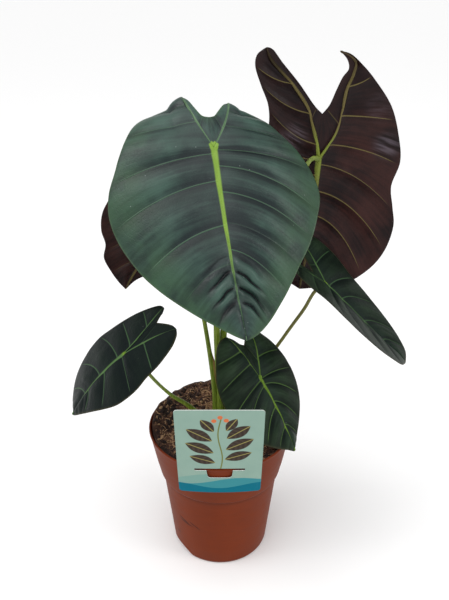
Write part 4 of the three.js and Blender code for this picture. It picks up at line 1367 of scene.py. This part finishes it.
def rounded(corners, radius):
    """A polygon with rounded corners, as a list of points."""
    points = []
    for i, corner in enumerate(corners):
        here = Vector(corner)
        before = (Vector(corners[i - 1]) - here).normalized() * radius
        after = (Vector(corners[(i + 1) % len(corners)]) - here).normalized() * radius
        for k in range(CORNER_STEPS + 1):
            t = k / CORNER_STEPS
            points.append(here + before * (1 - t) ** 2 + after * t**2)
    return points


sheet_corners = ((-CARD_LOW, -CARD_BELOW), (CARD_LOW, -CARD_BELOW), (CARD_TOP, CARD_ABOVE),
                 (-CARD_TOP, CARD_ABOVE))
tongue_corners = ((-TONGUE_HALF + 1, -TONGUE_LONG), (TONGUE_HALF - 1, -TONGUE_LONG), (TONGUE_HALF, -SLIT_UP),
                  (-TONGUE_HALF, -SLIT_UP))
sheet_outline = rounded(sheet_corners, CARD_CORNER)
cut_outline = [Vector(p) for p in ((-SLIT_HALF, SLIT_UP), (-SLIT_HALF, -SLIT_UP), (-TONGUE_HALF, -SLIT_UP))]
cut_outline += rounded(tongue_corners, CARD_CORNER)[:2 * (CORNER_STEPS + 1)]
cut_outline += [Vector(p) for p in ((TONGUE_HALF, -SLIT_UP), (SLIT_HALF, -SLIT_UP), (SLIT_HALF, SLIT_UP))]

card = bmesh.new()
for outline in (sheet_outline, cut_outline):
    loop = [card.verts.new((*p, 0)) for p in outline]
    for i, vert in enumerate(loop):
        card.edges.new((loop[i - 1], vert))
bmesh.ops.triangle_fill(card, edges=card.edges[:], use_beauty=True)
for axis, low, high in ((0, -30, 30), (1, -24, 60)):
    for k in range(int(low / STRIP), int(high / STRIP) + 1):
        cut_way = np.eye(3)[axis]
        parts = card.verts[:] + card.edges[:] + card.faces[:]
        bmesh.ops.bisect_plane(card, geom=parts, plane_co=cut_way * k * STRIP, plane_no=cut_way)
for part in card.faces:
    if part.normal.z < 0:
        part.normal_flip()
made = bmesh.ops.extrude_face_region(card, geom=card.faces[:])
for vert in (item for item in made["geom"] if isinstance(item, bmesh.types.BMVert)):
    vert.co.z += CARD_THICK
bmesh.ops.recalc_face_normals(card, faces=card.faces)
print_place = card.verts.layers.float_vector.new("card_place")
for vert in card.verts:
    u, v, depth = vert.co
    vert[print_place] = (u, v, depth / CARD_THICK)
    low_share = min(1.0, max(0.0, (BOW_FROM - v) / BOW_OVER))
    bow = CARD_BOW * (u / CARD_TOP) ** 2 * low_share + CARD_CURL * (max(0.0, v) / CARD_ABOVE) ** 2
    y = CARD_BACK - v * math.sin(CARD_LEAN) - depth * math.cos(CARD_LEAN) + bow
    z = CARD_HUNG + v * math.cos(CARD_LEAN) - depth * math.sin(CARD_LEAN)
    vert.co = Vector((u, y, z)) * MM

# %% The tongue over the rim
FOLD = [
    (-61.05, 122.6), (-60.55, 121.6), (-59.8, 120.95), (-58.6, 120.7), (-57.0, 120.65), (-56.1, 120.3),
    (-55.75, 119.4), (-55.6, 115.8),
]
TONGUE_EDGE = 9.75
TONGUE_END = 7.25
TONGUE_PRINT = -6

ribbon = []
for i, point in enumerate(FOLD):
    run = (Vector(FOLD[min(i + 1, len(FOLD) - 1)]) - Vector(FOLD[max(i - 1, 0)])).normalized()
    above = Vector(point) + Vector((-run.y, run.x)) * CARD_THICK
    edge = TONGUE_EDGE if i < len(FOLD) - 1 else TONGUE_END
    for side in (-edge, edge):
        for yz in (Vector(point), above):
            vert = card.verts.new(Vector((side, *yz)) * MM)
            vert[print_place] = (side, TONGUE_PRINT, 0)
            ribbon.append(vert)
for i in range(len(FOLD) - 1):
    a, b, c, d = ribbon[4 * i:4 * i + 4]
    e, f, g, h = ribbon[4 * i + 4:4 * i + 8]
    for corners in ((b, d, h, f), (a, e, g, c), (a, b, f, e), (c, g, h, d)):
        card.faces.new(corners)
for ends in ((0, 2, 3, 1), (-4, -3, -1, -2)):
    card.faces.new([ribbon[k] for k in ends])
bmesh.ops.recalc_face_normals(card, faces=card.faces)
card_piece = from_shape("hang_card", card)
card_piece.data.shade_smooth()
card_piece.data.set_sharp_from_angle(angle=math.radians(30))

# %% [markdown]
# ## The print
# The print is drawn with distances and sines, so it stays crisp. Each hill ends at a sine line, and loops
# over two short lists lay the leaflets of a sprig along its twig and the berries on top.

# %% The card finish
LEAFLETS = [
    (-13, 12, 21, 5.4, 158), (14, 16, 22, 5.6, 22), (-15, 25, 24, 6, 152), (15, 29, 24, 6, 30),
    (-15, 39, 23, 6, 146), (14, 42, 22, 5.8, 38), (-9, 49, 16, 4.6, 128), (9, 50, 15, 4.4, 58),
]
TWIG_LEFT = 0.5
TWIG_TOP = 56.0
BERRIES = [(0.5, 57.5), (-4, 54), (5, 54.5)]
BERRY_RADIUS = 1.9
BERRY_COLOUR = paint(206, 112, 70)
TWIG_COLOUR = paint(112, 118, 62)
PLAIN_BACK = paint(226, 230, 226)
WASH_SIZE = 15.0
CARD_RELIEF = 0.05
HILLS = [
    (-9.0, 3.2, 0.085, 2.4, (122, 160, 150)), (-14.0, 3.6, 0.075, 0.4, (58, 136, 144)),
    (-19.5, 3.0, 0.09, -1.5, (0, 106, 126)),
]


def card_material(name):
    material, tree = new_material(name)
    u, v, side = tree.split(tree.attribute("card_place", "Vector"))
    wash = tree.noise(tree.join(u, v, 0.0), WASH_SIZE, 4.0)
    colour = tree.blend(wash, paint(148, 174, 160), paint(132, 160, 148))
    for base, swing, turns, start, hill_colour in HILLS:
        crest = (u * turns + start).math("SINE") * swing + base
        colour = tree.blend(tree.drop(v - crest, -0.3, 0.3), colour, paint(*hill_colour))

    twig_gap = abs(u - (v * 0.12).math("SINE") * 1.6 - TWIG_LEFT)
    twig = tree.band(twig_gap, 0.5, 0.3) * (v > 0.0) * (v < TWIG_TOP)
    colour = tree.blend(twig, colour, TWIG_COLOUR)
    for cx, cy, long, wide, angle in LEAFLETS:
        turn = math.radians(angle)
        du = u - cx
        dv = v - cy
        run = du * math.cos(turn) + dv * math.sin(turn)
        off = dv * math.cos(turn) - du * math.sin(turn)
        taper = 1.0 - abs(run) / (long * 0.5)
        leaf_half = (1.0 - (1.0 - taper) ** 2.0).math("MAXIMUM", 0.0) * wide * 0.9
        leaflet = tree.band(abs(off) - leaf_half + 1.0, 1.0, 0.2)
        ribs = ((run * 1.5 + abs(off) * 0.9).math("SINE") * 0.5 + 0.5) * 0.35
        shade = tree.blend(ribs, paint(58, 48, 42), paint(86, 76, 66))
        shade = tree.blend(tree.band(abs(off), 0.35, 0.4), shade, paint(150, 142, 84))
        colour = tree.blend(leaflet * (taper > 0.0), colour, shade)
    for cx, cy in BERRIES:
        du = u - cx
        dv = v - cy
        berry = tree.band((du * du + dv * dv) ** 0.5, BERRY_RADIUS, 0.15)
        colour = tree.blend(berry, colour, BERRY_COLOUR)
    colour = tree.blend(tree.step(side, 0.96, 0.99), PLAIN_BACK, colour)
    finish(tree, colour, (wash - 0.5) * 0.1 + 0.46, wash, CARD_RELIEF, Specular_IOR_Level=0.05)
    return material


card_piece.data.materials.append(card_material("card"))
dress(card_piece, "card", "label")
